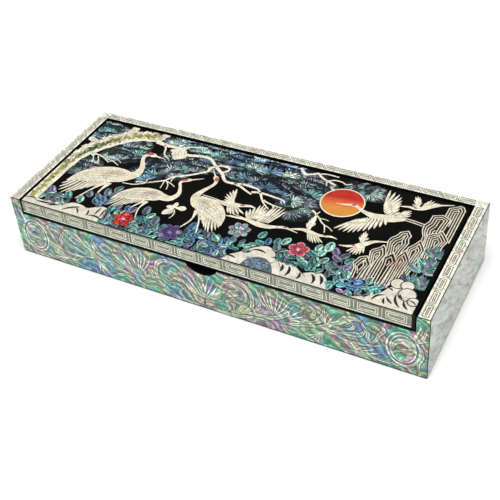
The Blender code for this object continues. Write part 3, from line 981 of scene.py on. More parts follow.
# Brush strokes on the banks: from, to, the bend, and the half width
BANK_STROKES = (
    ((-121, -46.4), (-113.4, -46.2), 0.22, 0.4), ((-113.6, -46.2), (-100, -44.8), -0.06, 0.5),
    ((-104, -47.8), (-97, -45.2), 0.05, 0.55), ((-93.4, -48.2), (-84, -42), 0.08, 0.55),
    ((-86, -43.4), (-82.6, -47.4), 0.1, 0.4), ((-78, -42.4), (-76.6, -47.4), 0.1, 0.45),
    ((-72, -37.6), (-72.6, -44.6), 0.0, 0.4), ((-69, -38), (-68.4, -45.6), 0.0, 0.4),
    ((-66.2, -39.4), (-64.6, -46.8), -0.05, 0.4), ((-76, -46.6), (-66, -47.8), 0.15, 0.45),
    ((23.4, -40.4), (25.6, -37.2), -0.1, 0.5), ((25.6, -37.2), (34, -36.8), 0.18, 0.5),
    ((14, -46), (20.6, -46.4), 0.12, 0.45), ((38, -38.4), (42, -37.8), 0.1, 0.35),
    ((46, -41), (47, -46.6), 0.12, 0.55), ((49.8, -41), (50.6, -48.6), 0.16, 0.6),
    ((57.2, -43.2), (57.2, -48.6), 0.12, 0.5), ((63, -42), (66, -48.6), 0.18, 0.6),
    ((67.6, -41.4), (70.4, -47.6), 0.14, 0.6), ((44, -39.2), (54.6, -40.8), 0.16, 0.35),
    ((98.4, -47.8), (103.2, -42), 0.2, 0.5), ((103.8, -44), (105.2, -48.2), -0.12, 0.45),
    ((104.4, -42.6), (109, -46.6), -0.08, 0.45), ((108.4, -39.4), (113, -47.6), -0.14, 0.5),
    ((113.4, -42), (117.4, -47.6), -0.14, 0.5), ((103.4, -36.4), (106, -37.6), 0.1, 0.4),
    ((110, -38.2), (112.6, -41.2), -0.16, 0.45), ((94, -48), (96, -45.6), 0.2, 0.35),
    ((115, -41.2), (120, -43.6), 0.2, 0.35),
)
# Clumps of grass at the right: the root, the longest leaf, and the way it leans in degrees
GRASS_CLUMPS = (
    (117, -6, 9, 90), (114.6, -20, 12, 90), (117.6, -14, 9, 95), (113, -31, 11, 75), (118, -31, 11, 105),
)

# Necks of the standing cranes, in crane heights from the feet: the line, and the beak's tip
NECKS = {
    "level": (
        ((0.20, 0.53), (0.275, 0.60), (0.262, 0.73), (0.205, 0.83), (0.178, 0.91), (0.225, 0.965)),
        (0.43, 0.945),
    ),
    "raised": (
        ((0.19, 0.52), (0.35, 0.53), (0.405, 0.66), (0.355, 0.79), (0.300, 0.89), (0.335, 0.955)),
        (0.56, 1.09),
    ),
    "thrown": (
        ((0.16, 0.50), (0.235, 0.58), (0.215, 0.70), (0.165, 0.82), (0.145, 0.90), (0.165, 0.965)),
        (0.30, 1.13),
    ),
}
NECK_HALVES = (0.075, 0.050, 0.030, 0.021, 0.020, 0.024)
# The rest of a standing crane, in the same way: its legs, its body's middle line and half widths, the line
# that the plumes' tips reach, and the arcs of the folded wing about their middle
CRANE_LEGS = (((0.05, 0.36), (-0.03, 0.19), (-0.10, 0.0)), ((0.09, 0.36), (0.07, 0.18), (0.13, 0.0)))
CRANE_BODY = ((0.27, 0.545), (0.17, 0.52), (0.02, 0.49), (-0.14, 0.43), (-0.27, 0.34), (-0.36, 0.22))
BODY_HALVES = (0.03, 0.105, 0.135, 0.13, 0.085, 0.02)
PLUME_ROOTS = ((-0.27, 0.37), (0.02, 0.42))
PLUME_RIM = ((-0.39, 0.16), (-0.37, 0.07), (-0.30, 0.02), (-0.21, 0.08), (-0.13, 0.16), (-0.04, 0.24))
WING_ARC = ((0.13, 0.05), (0.04, 0.085), (-0.07, 0.05), (-0.11, -0.02), (-0.08, -0.075))
WING_MIDDLE = (0.07, 0.48)
# The breast, which stays in place when a body is stretched or falls towards its tail
BREAST = 0.2

# The butterfly: where its wings meet, their tips and half widths, and the tips of its tails
BUTTERFLY = (-32.0, -21.0)
WING_TIPS = ((-25.2, -20), (-33.4, -16.6), (-37.4, -22), (-36.4, -29))
WING_HALVES = (2.2, 1.4, 1.5, 2.2)
TAIL_TIPS = ((-30.4, -31), (-32.6, -28))

# Counts of small parts: on the trunk, in the pond, in a clump of grass, and on a standing crane
PATCHES, CUTS, RIPPLES, GRASS_LEAVES, PLUMES = 500, 70, 44, 11, 9
# The pale rim of a limb or a stub, the step up to its middle, and the middle's least half width
RIM, RIM_STEP, RIM_LEAST = 0.38, 0.006, 0.05
# Heights over the lid's face, in the order pine, standing cranes, flying cranes, butterfly, sun, rocks, pond
# and banks, leaves, flowers, and grass. A rise or a step is added to a top, once or from body to body.
TRUNK_TOP, MOSS_TOP, PATCH_TOP, PATCH_RISE, CUT_TOP = 0.10, 0.112, 0.115, 0.025, 0.155
STUB_TOP, STUB_LINE_TOP, BRANCH_TOP = 0.125, 0.15, 0.13
TUFT_TOP, TUFT_ROW_STEP, TUFT_STEP = 0.03, 0.0125, 0.006
LEG_TOP, BODY_TOP, PLUME_TOPS, NECK_TOP = 0.115, 0.13, (0.165, 0.145), 0.15
BEAK_TOP, HEAD_TOP, CROWN_TOP, MARK_TOP, ARC_TOP = 0.16, 0.165, 0.18, 0.18, 0.182
WING_TOP, WING_STEP, FEATHER_STEP, COVERT_RISE = 0.12, 0.035, 0.002, 0.034
FLYING_TOP, FLYING_CROWN_TOP = 0.17, 0.19
WINGS_TOP, WINGS_RISE, TAIL_TOP, VEIN_TOP, SPINDLE_TOP = 0.12, 0.004, 0.13, 0.142, 0.15
SUN_TOP, SUN_RING_TOP = 0.12, 0.14
ROCK_TOP, ROCK_STEP, ROCK_LINE_RISE = 0.03, 0.014, 0.012
POND_TOP, RIPPLE_TOP, STROKE_TOP, CLOUD_STROKE_TOP = 0.07, 0.085, 0.105, 0.225
LOBE_EDGE_TOP, LOBE_TOP, LOBE_STEP = 0.175, 0.18, 0.01
BED_TOP, BED_RISE, OPEN_LEAF_TOP, OPEN_LEAF_RISE = 0.05, 0.03, 0.10, 0.02
FLOWER_TOP, PETAL_TOP, RING_STEP, PETALS_RISE, HEART_TOP = 0.125, 0.135, 0.022, 0.003, 0.19
GRASS_TOP, GRASS_RISE = 0.13, 0.02


def rimmed(drawing, line, halves, top, tone, tones):
    """A carried plate in cream with another one, narrower by the rim, on top of it."""
    drawing.lines(line, halves, top, tones["cream"], PLATE)
    drawing.lines(line, np.maximum(halves - RIM, RIM_LEAST), top + RIM_STEP, tone, PLATE)


def standing_crane(drawing, crane, tones):
    """A crane on its legs, drawn in crane heights from its feet.

    Body and neck are carried plates with a pale rim, and long plumes hang from the body's hind half.
    """
    x, y, height, facing, stretch, fall, plume, pose = crane
    neck, beak = NECKS[pose]

    def at(points):
        """Points in crane heights as points on the lid."""
        return (x, y) + np.asarray(points, float) * (height * facing, height)

    def posed(points):
        """The same, stretched about the breast and let fall the more the farther they are behind it."""
        u, v = np.asarray(points, float).T
        return at(np.stack([u * stretch + BREAST * (1 - stretch), v - fall * (BREAST - u)], axis=-1))

    for leg in CRANE_LEGS:
        halves = np.interp(np.linspace(0, 1, 9), (0, 0.35, 1), (0.030, 0.010, 0.0075)) * height
        drawing.lines(smooth(at(leg), 9), halves, LEG_TOP, tones["cream"], PLATE)
    for line, halves, top in ((posed(CRANE_BODY), BODY_HALVES, BODY_TOP), (at(neck), NECK_HALVES, NECK_TOP)):
        rimmed(drawing, smooth(line, 18), resampled(halves, 18) * height, top, tones["straw"], tones)
    plumes(drawing, posed, plume, height, 0.05 * facing, tones)
    crane_head(drawing, at, neck[-1], beak, height, tones)
    wing_marks(drawing, posed, 0.3 * facing, tones["engraving"])


def wing_marks(drawing, posed, bend, dark):
    """The folded wing's nested arcs, and staggered rows of short strokes between back and belly."""
    for turn in range(4):
        arc = np.array(WING_ARC) * (0.4 + 0.22 * turn) + WING_MIDDLE
        drawing.lines(smooth(posed(arc), 14), 0.16, ARC_TOP, dark)
    rows, columns = (grid.ravel() for grid in np.meshgrid(np.arange(4), np.arange(9)))
    along = 0.12 - 0.050 * columns - 0.025 * (rows % 2)
    middle = np.interp(along, (-0.30, -0.14, 0.02, 0.17), (0.31, 0.43, 0.49, 0.52))
    starts = np.stack([along, middle + (0.09 - 0.052 * rows) * (1 + 0.8 * along)], axis=-1)
    drawing.strokes(posed(starts), posed(starts + (-0.05, -0.022)), 0.17, MARK_TOP, dark, bend)


def plumes(drawing, posed, long, height, bend, tones):
    """The long feathers of a crane's hind half, each with an engraved quill, in posed crane heights."""
    roots = between(*PLUME_ROOTS, np.linspace(0, 1, PLUMES))
    tips = posed(between(roots, smooth(PLUME_RIM, PLUMES), long))
    roots = posed(roots)
    tops = np.linspace(*PLUME_TOPS, PLUMES)
    edge = (0.55, 0.03, tones["engraving"])
    drawing.edged(roots, tips, 0.0215 * height, tops, tones["cream"], feather_shape, edge, bend)
    drawing.strokes(roots, between(roots, tips, 0.8), 0.10, tops + 0.014, tones["engraving"], bend)


def crane_head(drawing, at, head, beak, height, tones):
    """A standing crane's head and beak, and the red crown on the head."""
    reach = np.array(beak) - head
    parts = (
        (-0.12, 0.42, (0, 0), (0, 0), 0.034, HEAD_TOP, "cream", leaf_shape),
        (0.25, 1.0, (0, 0), (0, 0), 0.013, BEAK_TOP, "cream", beak_shape),
        (-0.20, 0.18, (0, 0.004), (0, 0.012), 0.028, CROWN_TOP, "crown", oval_shape),
    )
    for first, last, first_lift, last_lift, half, top, name, shape in parts:
        start, end = at(head + reach * first + first_lift), at(head + reach * last + last_lift)
        drawing.blades(start, end, half * height, top, tones[name], shape)


def standing_cranes(drawing, tones):
    """The three standing cranes."""
    for crane in STANDING:
        standing_crane(drawing, crane, tones)


def wing(drawing, arm, rim, count, top, tones):
    """A spread wing: feathers from even steps of the arm to even steps of the rim, and short coverts."""
    starts, ends = smooth(arm, count), smooth(rim, count)
    apart = np.linalg.norm(np.diff(ends, axis=0), axis=1).mean()
    tops = top + FEATHER_STEP * np.arange(count)
    coverts = between(starts, ends, 0.42) + 0.3
    cream, dark = tones["cream"], tones["engraving"]
    drawing.edged(starts, ends, 0.43 * apart, tops, cream, feather_shape, (0.19 * apart, 0.03, dark))
    edge = (0.14 * apart, 0.014, dark)
    drawing.edged(starts, coverts, 0.36 * apart, tops + COVERT_RISE, cream, feather_shape, edge)


def flying_crane(drawing, crane, tones):
    """A crane in flight: its wings, then a body with the neck and the legs stretched out."""
    line, halves, wings = crane
    for number, (arm, rim, count) in enumerate(wings):
        wing(drawing, arm, rim, count, WING_TOP + WING_STEP * number, tones)
    count = 6 * len(line)
    rimmed(drawing, smooth(line, count), resampled(halves, count), FLYING_TOP, tones["straw"], tones)
    head, beak = np.array(line[-3:-1])
    nape = head - (beak - head) * 0.25 + (0.0, 0.25)
    crown = nape + (beak - head) * 0.6
    drawing.blades(nape, crown, 0.75 * halves[-3], FLYING_CROWN_TOP, tones["crown"], oval_shape)


def flying_cranes(drawing, tones):
    """All the flying cranes, and the long legs that trail behind three of them."""
    for leg in TRAILING_LEGS:
        drawing.lines(smooth(leg, 8), 0.3, LEG_TOP, tones["cream"])
    for crane in FLYING:
        flying_crane(drawing, crane, tones)


def trunk_plates(drawing, trunk, tones):
    """The trunk with its waved edges, and the green stripe along it."""
    spine, side, halves, deep = trunk
    wave = np.arange(len(spine))
    rough = halves * (1 + 0.12 * np.sin(wave * 0.8) + 0.08 * np.sin(wave * 2.1 + 1))
    outer = spine + side * rough[:, None]
    inner = spine - side * (halves * (1 + 0.04 * np.sin(wave * 0.5)))[:, None]
    drawing.strip(outer, inner, TRUNK_TOP, tones["cream"])
    moss = tones["moss"]
    stripe = spine + side * ((0.12 - 0.3 * deep) * halves)[:, None]
    tone = between(moss * (1.8, 1.7, 1.9), moss * (0.16, 0.48, 0.85), deep)
    drawing.lines(stripe, halves * (0.40 + 0.10 * np.sin(wave * 0.9)), MOSS_TOP, tone)


def bark_patches(drawing, rng, trunk, tones):
    """Small patches along the trunk: moss near the stripe, and bark elsewhere."""
    spine, side, halves, deep = trunk
    moss, bark, cream = tones["moss"], tones["bark"], tones["cream"]
    at = rng.integers(2, len(spine) - 4, PATCHES)
    off = rng.uniform(-0.62, 0.95, PATCHES)
    place = spine[at] + side[at] * (off * halves[at])[:, None]
    way = spine[at + 2] - spine[at]
    way /= np.linalg.norm(way, axis=1, keepdims=True)
    way = way + side[at] * rng.uniform(-0.9, 0.9, (PATCHES, 1))
    green = 0.78 * np.exp(-((off - 0.1 + 0.3 * deep[at]) / 0.42) ** 2)
    mosses = [moss * (0.25, 0.5, 0.7), moss * 1.1, moss * (2.3, 2.1, 2.6), moss * (1.6, 1.5, 1.4)]
    mossy = pick(rng, mosses, PATCHES, 0.2) * between((1.0, 1.0, 1.0), (0.18, 0.42, 0.6), deep[at])
    pale = pick(rng, [bark * 0.35, cream, bark * 0.75, cream], PATCHES, 0.1)
    tone = np.where((rng.uniform(0, 1, PATCHES) < green)[:, None], mossy, pale)
    reach = way * rng.uniform(0.6, 1.5, (PATCHES, 1))
    halves = rng.uniform(0.35, 0.8, PATCHES)
    tops = PATCH_TOP + rng.uniform(0, PATCH_RISE, PATCHES)
    drawing.blades(place - reach, place + reach, halves, tops, tone, leaf_shape, stations=5)


def bark_cuts(drawing, rng, trunk, tones):
    """Engraved cuts along the trunk's outer half."""
    spine, side, halves, _ = trunk
    at = rng.integers(4, len(spine) - 6, CUTS)
    off = rng.uniform(0.2, 0.95, CUTS)
    starts = spine[at] + side[at] * (off * halves[at])[:, None]
    ends = spine[at + 3] + side[at] * (off * 0.8 * halves[at])[:, None]
    drawing.strokes(starts, ends, 0.16, CUT_TOP, tones["engraving"], 0.3)


def stub(drawing, root, end, half, tones):
    """The stub of a cut limb: a waved plate that narrows towards its end, with lines along its grain."""
    line = between(root, end, np.linspace(0, 1, 9))
    widths = half * (1 + 0.14 * np.sin(np.arange(9) * 2.2)) * np.linspace(1.1, 0.85, 9)
    rimmed(drawing, line, widths, STUB_TOP, tones["cream"] * 0.94, tones)
    across = ray(math.atan2(end[0] - root[0], root[1] - end[1])) * half
    starts = line[2] + np.linspace(-0.6, 0.6, 4)[:, None] * across
    drawing.strokes(starts, starts + line[6] - line[2], 0.14, STUB_LINE_TOP, tones["engraving"], 0.12)


def branch(drawing, thick, thin, points, tones):
    """A branch: a plate that narrows from its thick to its thin end, with waved edges."""
    count = 7 * len(points)
    half = np.linspace(thick, thin, count) * (1 + 0.16 * np.sin(np.arange(count) * 1.7))
    drawing.lines(smooth(points, count), half, BRANCH_TOP, tones["cream"], PLATE)


def pine_wood(drawing, tones):
    """The trunk with its moss and bark, the stubs and the branches."""
    rng = np.random.default_rng(11)
    count = 120
    line = smooth(TRUNK, count)
    spine, halves = line[:, :2], line[:, 2]
    deep = np.exp(-((np.linspace(0, 1, count) - 0.45) / 0.16) ** 2)
    trunk = (spine, mitred(spine[None])[0], halves, deep)
    trunk_plates(drawing, trunk, tones)
    bark_patches(drawing, rng, trunk, tones)
    bark_cuts(drawing, rng, trunk, tones)
    for root, end, half in STUBS:
        stub(drawing, root, end, half, tones)
    for thick, thin, points in BRANCHES:
        branch(drawing, thick, thin, points, tones)


def tuft_places(rng, mass):
    """Tuft roots over an ellipse, in staggered rows, each moved a little, and how high each tuft lies.

    A row lies over the row behind it, and every second tuft of a row over its neighbours.
    """
    x, y, half_x, half_y, _ = mass
    rows = np.arange(half_y - 1.5, -half_y - 0.1, -TUFT_ROWS)
    places, lifts = [], []
    for number, row in enumerate(rows):
        reach = half_x * math.sqrt(max(0.05, 1 - (row / (half_y + 1)) ** 2))
        columns = np.arange(-reach + TUFT_COLUMNS / 2 * (number % 2), reach + 0.1, TUFT_COLUMNS)
        places.append(np.stack([x + columns, np.full(len(columns), y + row - 2.0)], axis=-1))
        lifts.append(TUFT_TOP + TUFT_ROW_STEP * number + TUFT_STEP * (np.arange(len(columns)) % 2))
    places = np.concatenate(places)
    return places + rng.uniform(-1.0, 1.0, places.shape), np.concatenate(lifts)


def needle_fan(drawing, rng, fan, places, lean, reach, tone, lift):
    """One fan of needles on each tuft: from the root, dark, to the tip, light, over nearly half a turn."""
    needles, share, light, up = fan
    shape = (len(places), needles)
    spread = np.radians(np.linspace(-88, 88, needles))
    angle = (lean[:, None] + spread + rng.uniform(-0.06, 0.06, shape)).ravel()
    long = (reach[:, None] * rng.uniform(0.8, 1.08, shape) * share).ravel()
    glint = light * rng.uniform(0.45, 1.3, (len(angle), 1)) ** 1.5
    shade = (np.repeat(tone, needles, axis=0) * glint)[:, None] * np.array(NEEDLE_LIGHTS)[:, None]
    root = np.repeat(places, needles, axis=0)
    way = ray(angle) * (1.12, 0.84)
    tops = np.repeat(lift, needles) + up
    bend = rng.uniform(-0.06, 0.06, len(root))
    start, end = root + way * 0.5, root + way * long[:, None]
    shade = np.clip(shade, 0, 1)
    drawing.blades(start, end, NEEDLE_HALF, tops, shade, needle_shape, bend, 4, LINE)


def pine_needles(drawing, tones):
    """Tufts of needles: on each dark oval pad a fan of long needles and over it a fan of short ones."""
    rng = np.random.default_rng(5)
    palette = [tones[name] for name in ("teal", "blue", "slate", "slate", "mint", "blue", "slate")]
    palette.append(between(tones["violet"], tones["slate"], 0.5))
    for mass in NEEDLE_MASSES:
        places, lift = tuft_places(rng, mass)
        count = len(places)
        lean = math.radians(mass[4]) + rng.uniform(-0.35, 0.35, count)
        reach = sizes()["needle"] * rng.uniform(0.8, 1.15, count)
        tone = pick(rng, palette, count, 0.4)
        tone = between(tone, tone.mean(axis=-1, keepdims=True), 0.25)
        pads = places + ray(lean) * (reach * 0.32)[:, None]
        drawing.discs(pads, reach * 1.12, lift, tone * 0.09, squash=0.60)
        for fan in NEEDLE_FANS:
            needle_fan(drawing, rng, fan, places, lean, reach, tone, lift)


def sun(drawing, tones):
    """The sun: a disc that goes from amber at its foot to crimson at its head, in a cream ring."""
    radius = sizes()["sun_radius"]
    angle = np.linspace(0.03, math.pi - 0.03, 33)
    centres = SUN - np.cos(angle)[:, None] * ray(math.radians(SUN_LEAN)) * radius
    share = (1 - np.cos(angle)) / 2
    heats = ((0.0, "amber"), (0.3, "amber"), (0.52, "ember"), (0.68, "crimson"), (1.0, "crimson"))
    stops, names = zip(*heats)
    channels = np.array([tones[name] for name in names]).T
    tone = np.stack([np.interp(share, stops, channel) for channel in channels], axis=-1)
    drawing.lines(centres, np.sin(angle) * radius, SUN_TOP, tone, PLATE)
    around = SUN + ray(np.linspace(0, math.tau, 73)[:-1]) * (radius + 0.3)
    drawing.lines(around, SUN_RING, SUN_RING_TOP, tones["cream"], PLATE, loop=True)


def half_outline(side, spine, shift):
    """One side of a rock, moved in by the shift and down by 0.65 of it, up to where it passes the spine."""
    way = np.sign(spine[0, 0] - side[0, 0])
    moved = side + (way * shift, -0.65 * shift)
    past = (moved[:, 0] - np.interp(moved[:, 1], spine[:, 1], spine[:, 0])) * way
    if (past < 0).sum() < 4:
        return None
    first = int(np.argmax(past < 0))
    after = past[first:] >= 0
    last = first + int(np.argmax(after)) if after.any() else len(past) - 1
    share = np.clip(past[last - 1] / min(past[last - 1] - past[last], -1e-6), 0, 1)
    top = moved[last - 1] + (moved[last] - moved[last - 1]) * share
    return np.concatenate([moved[first:last], [top]])


def rock_line(drawing, path, top, size, tones):
    """One line of a rock, without its crowded points, with a warm glow near the foot of the rocks."""
    apart = np.linalg.norm(np.diff(path, axis=0), axis=1) > 0.15
    path = path[np.concatenate([[True], apart])]
    warm = 0.4 * np.exp(-((path[:, 0] - 99.5) / 4.5) ** 2 - ((path[:, 1] + 17) / 5) ** 2)
    tone = between(tones["cream"] * 0.9, tones["ember"] * (1, 1.3, 1.2), warm)
    drawing.lines(path, size["rock_line"] / 2, top, tone)


def rock(drawing, outline, level, size, tones):
    """A rock: a plate of lacquer, and on it evenly nested lines from its outline in to its spine."""
    top = outline[:, 1].argmax()
    sides = (outline[: top + 1], outline[: top - 1 : -1])
    left, right = (resampled(side, 24) for side in sides)
    drawing.strip(left - (0.3, 0), right + (0.3, 0), level, tones["lacquer"])
    spine = np.array([(outline[0] + outline[-1]) / 2, outline[top]])
    sides = [resampled(side, 4 * len(side) - 3) for side in sides]
    off = [np.abs(side[:, 0] - np.interp(side[:, 1], spine[:, 1], spine[:, 0])) for side in sides]
    reach = np.concatenate(off).max()
    turns = round(reach / size["rock_step"] + 0.5)
    for turn in range(turns):
        halves = [half_outline(side, spine, turn * reach / (turns - 0.5)) for side in sides]
        if halves[0] is not None and halves[1] is not None:
            halves = [np.concatenate([halves[0], halves[1][::-1]])]
        for path in halves:
            if path is not None:
                rock_line(drawing, path, level + ROCK_LINE_RISE, size, tones)


def rocks(drawing, tones):
    """The rocks, each of which hides those behind it."""
    for number, outline in enumerate(ROCKS):
        rock(drawing, np.array(outline, float), ROCK_TOP + ROCK_STEP * number, sizes(), tones)


def pond(drawing, tones):
    """The pond: dark slate with short ripples in violet, slate and blue."""
    edge = smooth(POND, 24)
    drawing.bands(edge[:, 0], LidTop.FRONT, edge[:, 1], POND_TOP, tones["slate"] * 0.7)
    rng = np.random.default_rng(3)
    places = np.stack([rng.uniform(26.5, 41.5, RIPPLES), rng.uniform(-49.5, -42.5, RIPPLES)], axis=-1)
    palette = [tones["violet"] * 1.3, tones["slate"] * 1.8, tones["blue"] * 1.5, tones["blush"] * 0.9]
    tone = pick(rng, palette, RIPPLES, 0.3)
    half = ray(rng.uniform(-0.6, 0.9, RIPPLES)) * 1.2
    drawing.blades(places - half, places + half, 0.55, RIPPLE_TOP, tone, leaf_shape, stations=5)


def banks(drawing, tones):
    """The cream banks along the front: waved bands, round lobes, a pond and dark brush strokes."""
    foot = LidTop.FRONT
    for edge, count, top, line_top in BANKS:
        line = smooth(edge, count)
        drawing.bands(line[:, 0], foot, np.maximum(line[:, 1], foot + 0.1), top, tones["bank"])
        drawing.lines(smooth(edge, 40) - (0, 0.1), 0.22, line_top, tones["engraving"])
    for number, (x, y, radius) in enumerate(CLOUD_LOBES):
        drawing.discs((x, y), radius + 0.6, LOBE_EDGE_TOP + LOBE_STEP * number, tones["ink"])
        drawing.discs((x, y), radius, LOBE_TOP + LOBE_STEP * number, tones["bank"])
    pond(drawing, tones)
    for start, end, bend, half in BANK_STROKES:
        top = STROKE_TOP if start[0] < CLOUD_START else CLOUD_STROKE_TOP
        drawing.blades(np.array(start), end, 1.5 * half, top, tones["ink"], stroke_shape, bend, 8)


def leaves(drawing, middles, angles, reach, tones, level):
    """Oval leaves: a dark edge, a light rim, and two faces with a dark vein between them, painted as light
    and shade: the face towards +u is a lit copy of the leaf's tone and the other a darker, shaded copy.
    """
    half = ray(angles) * (reach / 2)[:, None]
    width = reach * 0.335
    # How far each part reaches past the leaf's ends, its half width, height and tones, and its stations
    parts = (
        (0.14, width + 0.45, 0.0, tones * 0.05, 5),
        (0.0, width, 0.01, np.clip(tones * 1.28 + 0.015, 0, 1), 6),
        (-0.2, width * 0.80, 0.014, tones * 0.25, 5),
    )
    for past, wide, up, tone, stations in parts:
        ends = half * (1 + past)
        start, end = middles - ends, middles + ends
        drawing.blades(start, end, wide, level + up, tone, oval_shape, 0.0, stations, LINE)
    normal = np.stack([-half[:, 1], half[:, 0]], axis=-1)
    ends = half * 0.7
    # Painted light and shade: the face towards +u is a lit copy of the leaf's tone (1.55 times) and the other
    # a shaded copy (0.6 times)
    for side, light in ((-0.28, 1.55), (0.28, 0.6)):
        spot = middles + normal * side
        face = np.clip(tones * light, 0, 1)
        drawing.blades(spot - ends, spot + ends, width * 0.36, level + 0.02, face, oval_shape, 0.0, 4, LINE)


def leaf_bed(drawing, rng, bed, leaf, tones):
    """A bed of loose leaves: a grid whose places, angles and lengths are chosen at random."""
    left, right, low, high, light, names = bed
    rows = max(1, round((high - low) / 2.8))
    columns = max(2, round((right - left) / 3.3))
    u, v = np.meshgrid(np.linspace(left, right, columns), np.linspace(high, low, rows + 1))
    places = np.stack([u.ravel(), v.ravel()], axis=-1)
    places = places + rng.uniform(-1.3, 1.3, places.shape)
    count = len(places)
    angles = rng.uniform(0, math.pi, count)
    reach = leaf * rng.uniform(0.75, 1.0, count)
    tone = pick(rng, [tones[name] * light for name in names], count, 0.35)
    level = BED_TOP + BED_RISE * np.linspace(0, 1, count) + rng.uniform(0, 0.004, count)
    leaves(drawing, places, angles, reach, tone, level)


def flower(drawing, rng, plan, tones):
    """A flower: an outer and an inner ring of petals on a disc of lacquer, and a round heart; each petal
    carries a painted highlight, a lighter stroke along its middle.
    """
    x, y, radius, petals, outer, inner, rim, heart = plan
    drawing.discs((x, y), radius * 0.7, FLOWER_TOP, tones["lacquer"])
    for ring, (names, share) in enumerate(((outer, 1.0), (inner, 0.56))):
        turn = np.arange(petals) * math.tau / petals + ring * math.pi / petals + 0.4
        long = radius * share
        wide = 1.9 * long / petals
        tone = pick(rng, [tones[name] for name in names], petals, 0.25)
        tops = PETAL_TOP + RING_STEP * ring + PETALS_RISE * np.arange(petals) / petals
        # Where each part starts and ends along the petal, its half width, height, tones, outline and stations
        parts = (
            (0.08, 1.0, wide + 0.4, 0.0, tone * 0.2, petal_shape, 8),
            (0.12, 0.93, wide, 0.006, tones[rim] * (0.9 - 0.4 * ring), petal_shape, 8),
            (0.12, 0.84, wide * 0.8, 0.010, tone, petal_shape, 8),
            # A painted highlight: a stroke at 1.4 times the petal's tone along its middle
            (0.3, 0.8, long * 0.09, 0.016, np.clip(tone * 1.4, 0, 1), stroke_shape, 5),
        )
        for first, last, half, up, shade, shape, stations in parts:
            start, end = ((x, y) + ray(turn) * long * at for at in (first, last))
            drawing.blades(start, end, half, tops + up, shade, shape, 0.0, stations)
    drawing.discs((x, y), radius * 0.17, HEART_TOP, tones[heart])


def flower_bank(drawing, tones):
    """The flower bank: beds of loose leaves, two stems, open leaves over them and four flowers."""
    rng = np.random.default_rng(41)
    for bed in LEAF_BEDS:
        leaf_bed(drawing, rng, bed, sizes()["leaf"], tones)
    for top, name, count, line in STEMS:
        drawing.lines(smooth(line, count), 0.25, top, tones[name])
    count = len(LEAVES)
    places = np.array([leaf[:2] for leaf in LEAVES], float)
    angles = np.radians([leaf[2] for leaf in LEAVES])
    reach = 1.1 * np.array([leaf[3] for leaf in LEAVES])
    tone = np.array([tones[leaf[4]] for leaf in LEAVES]) * rng.uniform(0.8, 1.2, (count, 1))
    tops = OPEN_LEAF_TOP + OPEN_LEAF_RISE * (rng.permutation(count) / count)
    leaves(drawing, places, angles, reach, tone, tops)
    for plan in FLOWERS:
        flower(drawing, rng, plan, tones)


def grass_clumps(drawing, tones):
    """Fans of narrow leaves at the right, from pale teal to violet, each on a dark edge and with a vein."""
    rng = np.random.default_rng(7)
    palette = [tones[name] for name in ("teal", "mint", "violet", "slate", "mint")]
    for x, y, reach, lean in GRASS_CLUMPS:
        spread = np.linspace(-1.2, 1.2, GRASS_LEAVES)
        angle = math.radians(lean) + spread + rng.uniform(-0.08, 0.08, GRASS_LEAVES)
        long = reach * rng.uniform(0.65, 1.0, GRASS_LEAVES)
        start = (x, y) + ray(angle)
        end = start + ray(angle) * long[:, None]
        tone = pick(rng, palette, GRASS_LEAVES, 0.3)
        bend = np.linspace(-0.1, 0.1, GRASS_LEAVES)
        tops = GRASS_TOP + rng.uniform(0, GRASS_RISE, GRASS_LEAVES)
        drawing.edged(start, end, 0.74, tops, tone, stroke_shape, (0.31, 0.01, tone * 0.12), bend)
        drawing.strokes(start, end, 0.10, tops + 0.01, tone * 0.25, bend)


def butterfly(drawing, tones):
    """A butterfly seen from the side: four wings of petal shape, two tails and a spindle body."""
    hub = np.array(BUTTERFLY)
    tops = WINGS_TOP + WINGS_RISE * np.arange(4)
    drawing.blades(hub, WING_TIPS, WING_HALVES, tops, tones["cream"], petal_shape)
    drawing.strokes(hub, between(hub, WING_TIPS, 0.8), 0.12, VEIN_TOP, tones["engraving"], 0.1)
    drawing.blades(hub + (0.6, -2), TAIL_TIPS, 0.4, TAIL_TOP, tones["cream"], stroke_shape, (0.15, 0.05))
    drawing.blades(hub + (-3.0, 1.6), hub + (3.0, -1.0), 0.8, SPINDLE_TOP, tones["straw"], leaf_shape)


# Scrollwork of the front's right half, in millimetres from its middle and its foot

